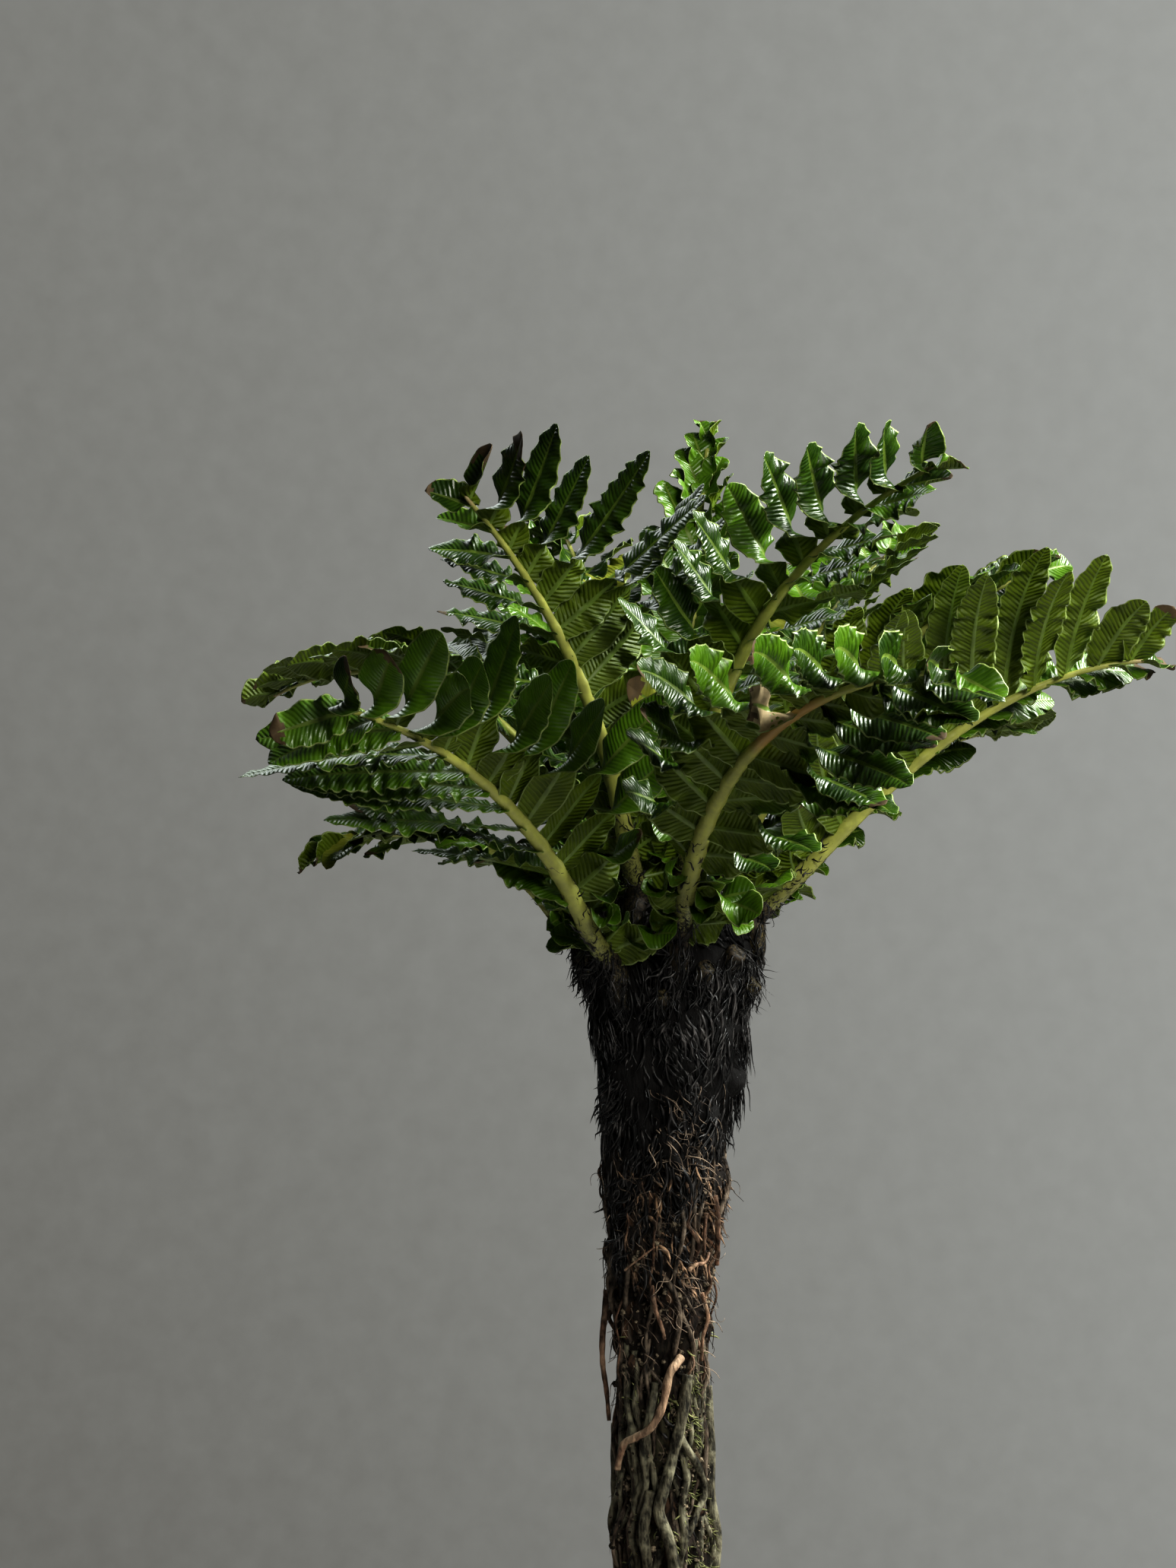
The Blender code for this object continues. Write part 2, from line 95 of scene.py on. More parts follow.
class Reading:
    """A number, colour or vector in a finish that changes over the surface."""

    def __init__(self, finish, socket):
        self.finish = finish
        self.socket = socket

    def _with(self, operation, *values):
        return self.finish.node("ShaderNodeMath", {"operation": operation}, dict(enumerate(values)))

    def __add__(self, other):
        return self._with("ADD", self, other)

    def __radd__(self, other):
        return self._with("ADD", other, self)

    def __sub__(self, other):
        return self._with("SUBTRACT", self, other)

    def __rsub__(self, other):
        return self._with("SUBTRACT", other, self)

    def __mul__(self, other):
        return self._with("MULTIPLY", self, other)

    def __rmul__(self, other):
        return self._with("MULTIPLY", other, self)

    def __abs__(self):
        return self._with("ABSOLUTE", self)

    def sine(self):
        return self._with("SINE", self)

    def between(self, low, high):
        """0 below low, 1 above high, smooth between them."""
        return self.finish.node("ShaderNodeMapRange", {"interpolation_type": "SMOOTHSTEP"},
                                {"Value": self, "From Min": low, "From Max": high})


class Finish:
    """A surface or the room's light, as a node tree."""

    def __init__(self, owner):
        self.owner = owner
        owner.use_nodes = True
        self.tree = owner.node_tree

    def node(self, kind, settings=None, values=None, output=0):
        made = self.tree.nodes.new(kind)
        for name, value in (settings or {}).items():
            setattr(made, name, value)
        for name, value in (values or {}).items():
            self.feed(made.inputs[name], value)
        return Reading(self, made.outputs[output])

    def feed(self, socket, value):
        if isinstance(value, Reading):
            self.tree.links.new(value.socket, socket)
        elif isinstance(value, tuple) and len(value) == 3 and socket.type == "RGBA":
            socket.default_value = (*value, 1.0)
        else:
            socket.default_value = value

    def part(self, vector, axis):
        return self.node("ShaderNodeSeparateXYZ", values={0: vector}, output=axis)

    def place(self, stretch=None):
        """Where a point of the piece is, in metres, drawn out or squeezed along each axis."""
        where = self.node("ShaderNodeTexCoord", output="Object")
        if stretch is None:
            return where
        return self.node("ShaderNodeVectorMath", {"operation": "MULTIPLY"}, {0: where, 1: stretch})

    def height(self):
        """How high a point of the piece stands, in metres."""
        return self.part(self.place(), "Z")

    def mark(self, name):
        """A number that the mesh carries at its points."""
        return self.node("ShaderNodeAttribute", {"attribute_name": name}, output="Fac")

    def cloud(self, grain, depth=3.0, stretch=None, warp=0.0):
        """Soft noise with patches of about `grain` metres, from 0 to 1."""
        return self.node("ShaderNodeTexNoise", values={
            "Vector": self.place(stretch), "Scale": 1.0 / grain, "Detail": depth,
            "Roughness": 0.55, "Distortion": warp})

    def mixed(self, share, first, second):
        return self.node("ShaderNodeMix", {"data_type": "RGBA"}, {0: share, 6: first, 7: second}, 2)


class Surface(Finish):
    """A Principled finish, even until something that varies is fed to it."""

    def __init__(self, name, colour, roughness, specular=0.5):
        super().__init__(bpy.data.materials.new(name))
        self.inputs = self.tree.nodes["Principled BSDF"].inputs
        self.paint(colour)
        self.dull(roughness)
        self.feed(self.inputs["Specular IOR Level"], specular)

    def paint(self, colour):
        self.feed(self.inputs["Base Color"], colour)

    def dull(self, roughness):
        self.feed(self.inputs["Roughness"], roughness)

    def emboss(self, strength, depth, height):
        self.feed(self.inputs["Normal"], self.node("ShaderNodeBump", values={
            "Strength": strength, "Distance": depth, "Height": height}))


room = Finish(bpy.data.worlds.new("room"))
scene.world = room.owner
toward = room.node("ShaderNodeTexCoord", output="Generated")
across = room.part(toward, "X")
upward = room.part(toward, "Z")
mottle = room.node("ShaderNodeTexNoise", values={"Vector": toward, "Scale": 120.0, "Detail": 4.0})
# The wall is painted lighter towards the right and darker towards its top and bottom: painted light
# from the window on the right.
wall_share = 0.49 + across * (across * 1.4 + 1.42) + upward * (0.51 - upward * 0.95)
wall = room.mixed(wall_share + (mottle - 0.5) * WALL_MOTTLE, WALL_DARK, WALL_LIGHT)
glow = room.mixed((upward + across * 0.4).between(-0.5, 1.0), ROOM_GLOOM, ROOM_GLOW)
seen = room.node("ShaderNodeLightPath", output="Is Camera Ray")
room.feed(room.tree.nodes["Background"].inputs["Color"], room.mixed(seen, glow, wall))
room.feed(room.tree.nodes["Background"].inputs["Strength"], 1.0)

for name, place, aim, size, power, colour in WINDOWS:
    lamp = bpy.data.lights.new(name, "AREA")
    lamp.shape = "RECTANGLE"
    lamp.size, lamp.size_y = size
    lamp.energy = power
    lamp.color = colour
    holder = bpy.data.objects.new(name, lamp)
    holder.location = place
    line = np.array((0.0, 0.0, aim)) - np.array(place)
    holder.rotation_euler = (math.atan2(math.hypot(line[0], line[1]), -line[2]), 0.0,
                             math.atan2(line[1], line[0]) - math.pi / 2)
    scene.collection.objects.link(holder)


def shaped(name, form):
    """What was built in a form, as a mesh."""
    mesh = bpy.data.meshes.new(name)
    form.to_mesh(mesh)
    form.free()
    return mesh


def link_piece(mesh, *finishes):
    """A mesh in its finishes, put into the scene under the mesh's name."""
    for finish in finishes:
        mesh.materials.append(finish.owner)
    piece = bpy.data.objects.new(mesh.name, mesh)
    scene.collection.objects.link(piece)
    return piece


table_top = Surface("pale_table", TABLE_LIGHT, 0.7)
table_top.paint(table_top.mixed(table_top.cloud(0.05), TABLE_DARK, TABLE_LIGHT))
form = bmesh.new()
bmesh.ops.create_circle(form, cap_ends=True, segments=128, radius=TABLE_RADIUS)
link_piece(shaped("table", form), table_top)


# ------------------------------------------------------------------ clay pot
# A plain thrown pot of fired clay with a thick collar, left unglazed. Salts have bloomed on the
# outside, and damp patches of the clay are darker.

POT_HEIGHT = 0.085
POT_MOUTH = 0.060
POT_FOOT = 0.043
POT_WALL = 0.005
POT_FLOOR = 0.007
COLLAR = 0.018
COLLAR_STEP = 0.003
POT_SIDES = 144
EASE = 0.0010               # how far each edge of the pot is rounded off
TURNING_MARK = 0.0016       # from one faint ridge of the throwing to the next
CLAY = (0.33, 0.165, 0.095)
CLAY_DARK = (0.19, 0.090, 0.052)
SALT = (0.50, 0.42, 0.34)

collar_base = POT_HEIGHT - COLLAR
pot_slope = (POT_MOUTH - COLLAR_STEP - POT_FOOT) / collar_base
wall_top = POT_FOOT + pot_slope * collar_base
inner_mouth = POT_MOUTH - COLLAR_STEP - POT_WALL
inner_foot = POT_FOOT + pot_slope * POT_FLOOR - POT_WALL


def eased(before, corner, after, radius, steps=5):
    """A corner of a profile, rounded off."""
    before, corner, after = (np.array(p, dtype=float) for p in (before, corner, after))
    first = corner + (before - corner) / np.linalg.norm(before - corner) * radius
    last = corner + (after - corner) / np.linalg.norm(after - corner) * radius
    return [tuple((1 - t) ** 2 * first + 2 * t * (1 - t) * corner + t * t * last)
            for t in np.linspace(0.0, 1.0, steps)]


pot_corners = [(0.0, POT_FLOOR), (inner_foot, POT_FLOOR), (inner_mouth, POT_HEIGHT),
               (POT_MOUTH, POT_HEIGHT), (POT_MOUTH, collar_base), (wall_top, collar_base),
               (POT_FOOT, 0.0), (0.0, 0.0)]
pot_profile = []
for corners in zip(pot_corners, pot_corners[1:], pot_corners[2:]):
    pot_profile += eased(*corners, EASE)


def around_axis(middle, out, angle, height):
    """Points `out` metres from an upright axis that stands at x = `middle`."""
    return np.stack(np.broadcast_arrays(middle + out * np.cos(angle), out * np.sin(angle), height),
                    axis=-1)


def ring_grid(rows, columns):
    """Quads between rings of `columns` points each, outwards when the rings climb anticlockwise."""
    row, column = np.meshgrid(np.arange(rows - 1), np.arange(columns), indexing="ij")
    here = row * columns + column
    beside = row * columns + (column + 1) % columns
    return np.stack([here, beside, beside + columns, here + columns], axis=-1).reshape(-1, 4)


def closed(rings, poles, clockwise=False):
    """Rings of points with a pole at each end: points and outward faces. `poles` holds the
    point that closes the first ring, 0, and the one that closes the last, -1."""
    count, sides = len(rings), len(rings[0])
    grid = ring_grid(count, sides)
    faces = [grid[:, ::-1] if clockwise else grid]
    for number, end in enumerate(poles):
        ring = np.arange(sides) + (end % count) * sides
        pair = (np.roll(ring, -1), ring) if (end == 0) != clockwise else (ring, np.roll(ring, -1))
        faces.append(np.stack([*pair, np.full(sides, count * sides + number)], axis=-1))
    return np.concatenate([*rings, np.array(list(poles.values()))]), faces


def mesh_of(name, points, faces, uses=None, uv=None):
    """A mesh from arrays: points, a list of (n, 3) and (n, 4) arrays of corners, for each of
    those the number of its finish, and the points' places on the map."""
    mesh = bpy.data.meshes.new(name)
    points = np.asarray(points, dtype=np.float32)
    mesh.vertices.add(len(points))
    mesh.vertices.foreach_set("co", points.ravel())
    corners = np.concatenate([f.ravel() for f in faces]).astype(np.int32)
    sizes = np.concatenate([np.full(len(f), f.shape[1]) for f in faces])
    mesh.loops.add(len(corners))
    mesh.loops.foreach_set("vertex_index", corners)
    mesh.polygons.add(len(sizes))
    starts = np.concatenate([[0], np.cumsum(sizes)[:-1]]).astype(np.int32)
    mesh.polygons.foreach_set("loop_start", starts)
    if uses is not None:
        mesh.polygons.foreach_set("material_index", np.concatenate(uses).astype(np.int32))
    if uv is not None:
        layer = mesh.uv_layers.new(name="blade")
        layer.data.foreach_set("uv", np.asarray(uv, dtype=np.float32)[corners].ravel())
    mesh.polygons.foreach_set("use_smooth", np.ones(len(sizes), dtype=bool))
    mesh.update(calc_edges=True)
    mesh.validate()
    return mesh


def belongs(piece, node=None):
    """The piece moves with the plant's one body, and stands in for a node where one is named."""
    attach(piece, "root")
    if node:
        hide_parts(node)


clay = Surface("fired_clay", CLAY, 0.85, 0.35)
bloom = (clay.cloud(0.018, 5.0, warp=0.4) * 0.7 + clay.cloud(0.004, 4.0) * 0.3).between(0.52, 0.68)
fired = clay.mixed(clay.cloud(0.03).between(0.35, 0.7), CLAY_DARK, CLAY)
clay.paint(clay.mixed(bloom * 0.75, fired, SALT))
clay.dull(clay.cloud(0.01) * 0.2 + 0.72)
turning = (clay.height() * (math.tau / TURNING_MARK) + clay.cloud(0.02) * 9.0).sine() * 0.25
clay.emboss(0.5, 0.0005, turning + clay.cloud(0.0012, 4.0) + clay.cloud(0.006) * 0.6)

pot_angle = np.linspace(0, math.tau, POT_SIDES, endpoint=False)
pot_rings = [around_axis(0.0, radius, pot_angle, height) for radius, height in pot_profile]
pot_points, pot_faces = closed(pot_rings, {0: (0, 0, POT_FLOOR), -1: (0, 0, 0)}, clockwise=True)
belongs(link_piece(mesh_of("clay_pot", pot_points, pot_faces), clay), "pot")


# ------------------------------------------------------------------ potting soil
# Dark crumbly compost with bits of bark, sunk a little below the pot's mouth. It is heaped by
# hand, so it isn't level, and crumbs of every size lie loose on it.

SOIL_TOP = 0.078
SOIL_SUNK = 0.0012          # how far the fill lies below its highest lumps
SOIL_HEAP = 0.0005
SOIL_SIDES = 160
SOIL_RINGS = 46
GAP = 0.0003
SOIL_DARK = (0.012, 0.008, 0.005)
SOIL_LIGHT = (0.050, 0.032, 0.020)
CRUMB_SIZE = 0.0026
BARE_RING = 0.022           # no crumbs lie so close to the trunk


def mark(mesh, name, values):
    """Has each point of a mesh carry its own number or vector."""
    values = np.asarray(values, dtype=np.float32)
    kind, key = ("FLOAT", "value") if values.ndim == 1 else ("FLOAT_VECTOR", "vector")
    mesh.attributes.new(name, kind, "POINT").data.foreach_set(key, values.ravel())


def point_values(mesh, key):
    values = np.empty(len(mesh.vertices) * 3)
    mesh.vertices.foreach_get(key, values)
    return values.reshape(-1, 3)


def waves(first, second, seed, count, longest, shortest):
    """Seeded smooth unevenness over a surface, about -1 to 1. `first` is an angle in radians, so
    its wave counts are whole, and `second` a length in metres."""
    draw = np.random.default_rng(seed)
    total = np.zeros(np.broadcast(first, second).shape)
    for _ in range(count):
        turns = draw.integers(-longest, longest + 1)
        rate = math.tau / (shortest * draw.uniform(1.0, 4.0)) * draw.choice((-1, 1))
        total = total + np.cos(turns * first + rate * second + draw.uniform(0, math.tau))
    return total / math.sqrt(count)


soil_share = (SOIL_TOP - POT_FLOOR - 2 * EASE) / (POT_HEIGHT - POT_FLOOR - 2 * EASE)
soil_radius = inner_foot + (inner_mouth - inner_foot) * soil_share - GAP
soil_angle = np.linspace(0, math.tau, SOIL_SIDES, endpoint=False)
soil_rings = [around_axis(0.0, radius, soil_angle, height) for radius, height in (
    (inner_foot - 0.002, POT_FLOOR + GAP), (inner_foot - GAP - 0.0003, POT_FLOOR + 0.0015),
    (soil_radius - GAP, SOIL_TOP - 0.0025))]
for number, share in enumerate(np.linspace(0.985, 0.04, SOIL_RINGS), 1):
    radius = soil_radius * share
    heap = SOIL_HEAP * waves(soil_angle, radius, 3, 16, 9, 0.006) * min(1.0, number / 4)
    soil_rings.append(around_axis(0.0, radius, soil_angle,
                                  SOIL_TOP - SOIL_SUNK + np.minimum(heap, 0.0011)))
soil_points, soil_faces = closed(soil_rings, {-1: (0, 0, SOIL_TOP - SOIL_SUNK),
                                              0: (0, 0, POT_FLOOR + GAP)})


def two_toned(name, dark, light, roughness, specular, grain, depth, low, high, stretch=None):
    """A finish in two colours, dark where a cloud of `grain` metres is below `low` and light
    where it is above `high`."""
    finish = Surface(name, light, roughness, specular)
    cloud = finish.cloud(grain, depth, stretch)
    finish.paint(finish.mixed(cloud.between(low, high), dark, light))
    return finish


earth = two_toned("potting_soil", SOIL_DARK, SOIL_LIGHT, 0.95, 0.3, 0.0016, 6.0, 0.42, 0.66)
earth.emboss(0.9, 0.0012, earth.cloud(0.0022, 6.0))
soil = link_piece(mesh_of("soil_fill", soil_points, soil_faces), earth)
belongs(soil, "soil")


def growth_rule():
    """Seeded growth over a surface: its points, thinned by the surface's `cover`, each carry one
    of the given forms. It lies along the surface's `flow`, up to `Spread` aside, and rises up to
    `Lift` in the direction of the surface's `out`."""
    tree = bpy.data.node_groups.new("growth", "GeometryNodeTree")
    kinds = {"Ground": "Geometry", "Forms": "Collection", "Density": "Float", "Smallest": "Float",
             "Largest": "Float", "Spread": "Float", "Lift": "Float", "Seed": "Int",
             "Finish": "Material"}
    sockets = {label: tree.interface.new_socket(label, in_out="INPUT",
                                                socket_type="NodeSocket" + kind)
               for label, kind in kinds.items()}
    tree.interface.new_socket("Growth", in_out="OUTPUT", socket_type="NodeSocketGeometry")
    given = tree.nodes.new("NodeGroupInput").outputs
    made = tree.nodes.new("NodeGroupOutput")

    def node(kind, settings, values):
        item = tree.nodes.new(kind)
        for label, value in settings.items():
            setattr(item, label, value)
        for label, value in values.items():
            if isinstance(value, bpy.types.NodeSocket):
                tree.links.new(value, item.inputs[label])
            else:
                item.inputs[label].default_value = value
        return item.outputs

    def carried(label, kind):
        return node("GeometryNodeInputNamedAttribute", {"data_type": kind}, {"Name": label})[0]

    def vector(operation, first, second):
        """Vector maths; a scale's factor is its own socket."""
        return node("ShaderNodeVectorMath", {"operation": operation},
                    {0: first, "Scale" if operation == "SCALE" else 1: second})[0]

    def random(kind, output, values):
        return node("FunctionNodeRandomValue", {"data_type": kind},
                    {**values, "Seed": given["Seed"]})[output]

    def turned_to(direction, settings, values):
        return node("FunctionNodeAlignRotationToVector", settings,
                    {"Vector": direction, **values})[0]

    flow, out = carried("flow", "FLOAT_VECTOR"), carried("out", "FLOAT_VECTOR")
    amount = node("ShaderNodeMath", {"operation": "MULTIPLY"},
                  {0: carried("cover", "FLOAT"), 1: given["Density"]})[0]
    spots = node("GeometryNodeDistributePointsOnFaces", {"distribute_method": "RANDOM"},
                 {"Mesh": given["Ground"], "Density": amount, "Seed": given["Seed"]})
    stray = random("FLOAT_VECTOR", 0, {"Min": (-1, -1, -1), "Max": (1, 1, 1)})
    stray = vector("SCALE", stray, given["Spread"])
    aside = vector("SUBTRACT", stray, vector("PROJECT", stray, out))
    off = vector("SCALE", out, random("FLOAT", 1, {2: 0.0, 3: given["Lift"]}))
    way = vector("ADD", vector("ADD", flow, aside), off)
    turn = turned_to(way, {"axis": "Z"}, {})
    turn = turned_to(out, {"axis": "X", "pivot_axis": "Z"}, {"Rotation": turn})
    forms = node("GeometryNodeCollectionInfo", {"transform_space": "ORIGINAL"}, {
        "Collection": given["Forms"], "Separate Children": True, "Reset Children": True})[0]
    grown = node("GeometryNodeInstanceOnPoints", {}, {
        "Points": spots["Points"], "Instance": forms, "Pick Instance": True,
        "Instance Index": random("INT", 2, {4: 0, 5: 99}), "Rotation": turn,
        "Scale": random("FLOAT", 1, {2: given["Smallest"], 3: given["Largest"]})})[0]
    real = node("GeometryNodeRealizeInstances", {}, {"Geometry": grown})[0]
    finished = node("GeometryNodeSetMaterial", {},
                    {"Geometry": real, "Material": given["Finish"]})[0]
    tree.links.new(finished, made.inputs[0])
    return tree, {label: socket.identifier for label, socket in sockets.items()}


growth_tree, growth_inputs = growth_rule()


def grow(name, slot, ground, cover, forms, finish, **sizes):
    """What the growth rule puts on a ground of mesh, flow and outward way, as a plain piece."""
    mesh, flow, out = ground
    bed = mesh.copy()
    bed.name = name + "_bed"
    flow = flow - out * np.sum(flow * out, axis=1)[:, None]
    flow = flow / np.maximum(np.linalg.norm(flow, axis=1), 1e-6)[:, None]
    mark(bed, "cover", cover)
    mark(bed, "flow", flow)
    mark(bed, "out", out)
    shelf = bpy.data.collections.new(name + "_forms")
    for number, form_mesh in enumerate(forms):
        shelf.objects.link(bpy.data.objects.new(f"{name}_form_{number}", form_mesh))
    carrier = link_piece(bed)
    growth = carrier.modifiers.new("growth", "NODES")
    growth.node_group = growth_tree
    for label, value in {"Forms": shelf, "Finish": finish.owner, **sizes}.items():
        growth[growth_inputs[label]] = value
    graph = bpy.context.evaluated_depsgraph_get()
    mesh = bpy.data.meshes.new_from_object(carrier.evaluated_get(graph))
    mesh.name = name
    for item in [carrier, *shelf.objects]:
        bpy.data.objects.remove(item, do_unlink=True)
    bpy.data.collections.remove(shelf)
    belongs(link_piece(mesh))


def crumb(seed):
    """A broken bit of bark or grit, one unit across."""
    form = bmesh.new()
    bmesh.ops.create_icosphere(form, subdivisions=1, radius=0.5)
    draw = np.random.default_rng(seed)
    stretch = draw.uniform(0.45, 1.0, 3)
    for corner in form.verts:
        corner.co = [c * s * draw.uniform(0.75, 1.1) for c, s in zip(corner.co, stretch)]
    return shaped(f"crumb_{seed}", form)


soil_out = np.hypot(soil_points[:, 0], soil_points[:, 1])
soil_cover = ((soil_points[:, 2] > SOIL_TOP - 0.0024) & (soil_out < soil_radius - 0.003)
              & (soil_out > BARE_RING)).astype(float)
bark_bit = two_toned("bark_bit", (0.030, 0.018, 0.011), (0.11, 0.070, 0.042), 0.9, 0.3,
                     0.004, 4.0, 0.35, 0.65)
grow("soil_crumbs", "soil",
     (soil.data, np.tile((1.0, 0.0, 0.0), (len(soil_points), 1)),
      np.tile((0.0, 0.0, 1.0), (len(soil_points), 1))),
     soil_cover, [crumb(seed) for seed in range(5)], bark_bit, Density=300000.0,
     Smallest=CRUMB_SIZE * 0.35, Largest=CRUMB_SIZE, Spread=1.0, Lift=0.5, Seed=4)


# ------------------------------------------------------------------ trunk
# A tree fern's trunk is a thin stem inside a thick coat of its own roots and old frond bases.
# The coat is in lobes below the crown, one under each ring of fronds, and ropy lower down.

WAIST = 0.0112
CROWN_RADIUS = 0.024
CROWN_HEIGHT = 0.272
CROWN_LEAN = 0.0025
SWELL_START = 0.150
FLARE = 0.0080
FLARE_FADE = 0.0110
KNOT_HEIGHT = 0.121
KNOT_BULGE = 0.0016
KNOT_SPREAD = 0.008
COAT = 0.0012               # how far the core stays under the coat's outline
LOBES = 5
VALLEY = math.radians(253)
VALLEY_DEPTH = 0.0024
SKIRT_HEIGHT = 0.2375
SKIRT_OUT = 0.0011
SKIRT_IN = 0.0010
ROPE_RISE = 0.0016
LUMP_RISE = 0.0009
FINE_RISE = 0.00035
COLUMNS = 220
LEVELS = 260
DOME_RINGS = 22
BARK_GAP = (0.006, 0.004, 0.003)
BARK_BLACK = (0.0045, 0.0038, 0.0035)
BARK_BROWN = (0.034, 0.023, 0.016)
BARK_RUST = (0.090, 0.050, 0.029)
BARK_MOSS = (0.050, 0.046, 0.024)


def swell_share(height):
    return np.clip((height - SWELL_START) / (CROWN_HEIGHT - SWELL_START), 0.0, 1.0)


def trunk_radius(height):
    swell = (CROWN_RADIUS - WAIST) * swell_share(height) ** 1.5
    flare = FLARE * np.exp(-(height - SOIL_TOP) / FLARE_FADE)
    knot = KNOT_BULGE * np.exp(-((height - KNOT_HEIGHT) / KNOT_SPREAD) ** 2)
    return WAIST + swell + flare + knot


def trunk_axis(height):
    return CROWN_LEAN * swell_share(height) ** 2


def step_up(value, low, high):
    part = np.clip((value - low) / (high - low), 0.0, 1.0)
    return part * part * (3 - 2 * part)


def facing(angle, heading):
    """1 on the side that faces the heading, in degrees, and 0 on the far side."""
    return 0.5 + 0.5 * np.cos(angle - math.radians(heading))


def coat_relief(angle, height):
    """Lobes and their skirt below the crown, and twisted ropes of root further down."""
    scaly = step_up(height, 0.205, 0.250)
    lobe = np.abs(np.sin((angle - VALLEY) * LOBES / 2 + 0.25 * np.sin(height * 70)))
    lobes = -VALLEY_DEPTH * (1.0 - lobe) ** 2 * scaly
    skirt = SKIRT_OUT * np.exp(-((height - SKIRT_HEIGHT - 0.006) / 0.007) ** 2)
    undercut = step_up(SKIRT_HEIGHT - height, -0.001, 0.002)
    skirt = skirt - SKIRT_IN * undercut * step_up(height, 0.215, 0.232)
    twist = np.abs(np.sin(angle * 7 + height * 120 + 1.3 * np.sin(height * 95 + angle)))
    counter = np.abs(np.sin(angle * 9 - height * 160 + 1.1 * np.sin(height * 60 + 2 * angle)))
    ropes = ROPE_RISE * (twist * 0.6 + counter * 0.4 - 0.55) * (1.0 - 0.7 * scaly)
    lumps = LUMP_RISE * waves(angle, height, 21, 22, 7, 0.012)
    fine = FINE_RISE * waves(angle, height, 22, 26, 24, 0.003)
    return lobes + skirt * facing(angle, 330) + ropes + lumps + fine


foot = SOIL_TOP + GAP
levels = np.linspace(foot, CROWN_HEIGHT, LEVELS)
turn = np.linspace(0, math.tau, COLUMNS, endpoint=False)
trunk_rings = [
    around_axis(trunk_axis(level), trunk_radius(level) - COAT + coat_relief(turn, level),
                turn, level)
    for level in levels]
for rise in np.radians(np.linspace(3, 84, DOME_RINGS)):
    out = CROWN_RADIUS - COAT + coat_relief(turn, CROWN_HEIGHT) * math.cos(rise)
    trunk_rings.append(around_axis(CROWN_LEAN, out * math.cos(rise), turn,
                                   CROWN_HEIGHT + out * math.sin(rise)))
trunk_points, trunk_faces = closed(trunk_rings, {
    -1: (CROWN_LEAN, 0.0, CROWN_HEIGHT + CROWN_RADIUS - COAT), 0: (0.0, 0.0, foot)})

bark = Surface("root_coat", BARK_BROWN, 0.8, 0.22)
lying = (1.0, 1.0, 0.28)
grain = bark.cloud(0.0011, 5.0, lying)
high = bark.height() + (bark.cloud(0.010, 4.0, warp=0.6) - 0.5) * 0.03
tone = bark.mixed(grain.between(0.35, 0.7), BARK_GAP, BARK_BROWN)
tone = bark.mixed(bark.cloud(0.006, 3.0, warp=0.8).between(0.56, 0.66) * 0.8, tone, BARK_RUST)
mossy = bark.cloud(0.008, 5.0).between(0.46, 0.62) * (1.0 - high.between(0.155, 0.180)) * 0.8
tone = bark.mixed(mossy, tone, BARK_MOSS)
bark.paint(bark.mixed(high.between(0.208, 0.228), tone, BARK_BLACK))
bark.emboss(0.8, 0.0009, grain + bark.cloud(0.003, 4.0, lying))
trunk_mesh = mesh_of("trunk_coat", trunk_points, trunk_faces)
belongs(link_piece(trunk_mesh, bark), "trunk")


# ------------------------------------------------------------------ scales of the trunk
# Long narrow scales, black and glossy like coarse hair, clothe the upper trunk. They hang down
# over each other, sweep in at the lobes' skirts, and a few stray off the outline.

SCALE_LONG = 0.0115
SCALE_SHORT = 0.0055
SCALE_BLACK = (0.0013, 0.0011, 0.0011)
SCALE_SHEEN = (0.120, 0.111, 0.108)
SCALE_SHAPES = ((-0.05, 0.13, 0.105, 7), (-0.01, 0.18, 0.085), (-0.07, -0.14, 0.110, 6),
                (-0.04, -0.22, 0.090), (0.04, 0.15, 0.080, 8))


def ribbon(seed, segments, thick, curl, sway, width, waviness=3.2):
    """A narrow scale one unit long, from its root along +Z, with three-sided section."""
    draw = np.random.default_rng(seed)
    part = np.linspace(0.0, 1.0, segments + 1)
    lift = curl * part ** 2 + 0.02 * np.sin(part * 5 + draw.uniform(0, 6)) * part
    aside = sway * np.sin(part * waviness * draw.uniform(0.7, 1.3) + draw.uniform(0, 1)) * part
    wide = width * np.minimum(1.0, 0.5 + part * 4) * (1.0 - part ** 3) + 0.002
    points = []
    for t, x, y, w in zip(part, lift, aside, wide):
        points += [(x, y - w / 2, t), (x + w * thick, y, t), (x, y + w / 2, t)]
    last = len(points) - 1
    faces = [ring_grid(segments + 1, 3)[:, ::-1], np.array([[0, 1, 2]]),
             np.array([[last, last - 1, last - 2]])]
    return mesh_of(f"ribbon_scale_{seed}", np.array(points), faces)


def ribbons(first_seed, shapes, segments, thick=0.16):
    """Ribbons of several shapes, each with its curl, sway, width and waviness."""
    return [ribbon(seed, segments, thick, *shape) for seed, shape in enumerate(shapes, first_seed)]


hair = two_toned("black_scale", SCALE_BLACK, SCALE_SHEEN, 0.34, 0.5,
                 0.0013, 2.0, 0.47, 0.74, (1.0, 1.0, 0.12))
hair.dull(hair.cloud(0.003) * 0.25 + 0.27)

trunk_high = trunk_points[:, 2]
trunk_turn = np.arctan2(trunk_points[:, 1], trunk_points[:, 0] - trunk_axis(trunk_high))
trunk_slope = np.interp(trunk_high, levels, np.gradient(trunk_radius(levels), levels))
doming = np.clip((trunk_high - CROWN_HEIGHT) / CROWN_RADIUS, 0.0, 0.999)
trunk_out = around_axis(0.0, np.sqrt(1.0 - doming ** 2), trunk_turn,
                        np.where(trunk_high > CROWN_HEIGHT, doming, -trunk_slope))
trunk_out /= np.linalg.norm(trunk_out, axis=1)[:, None]


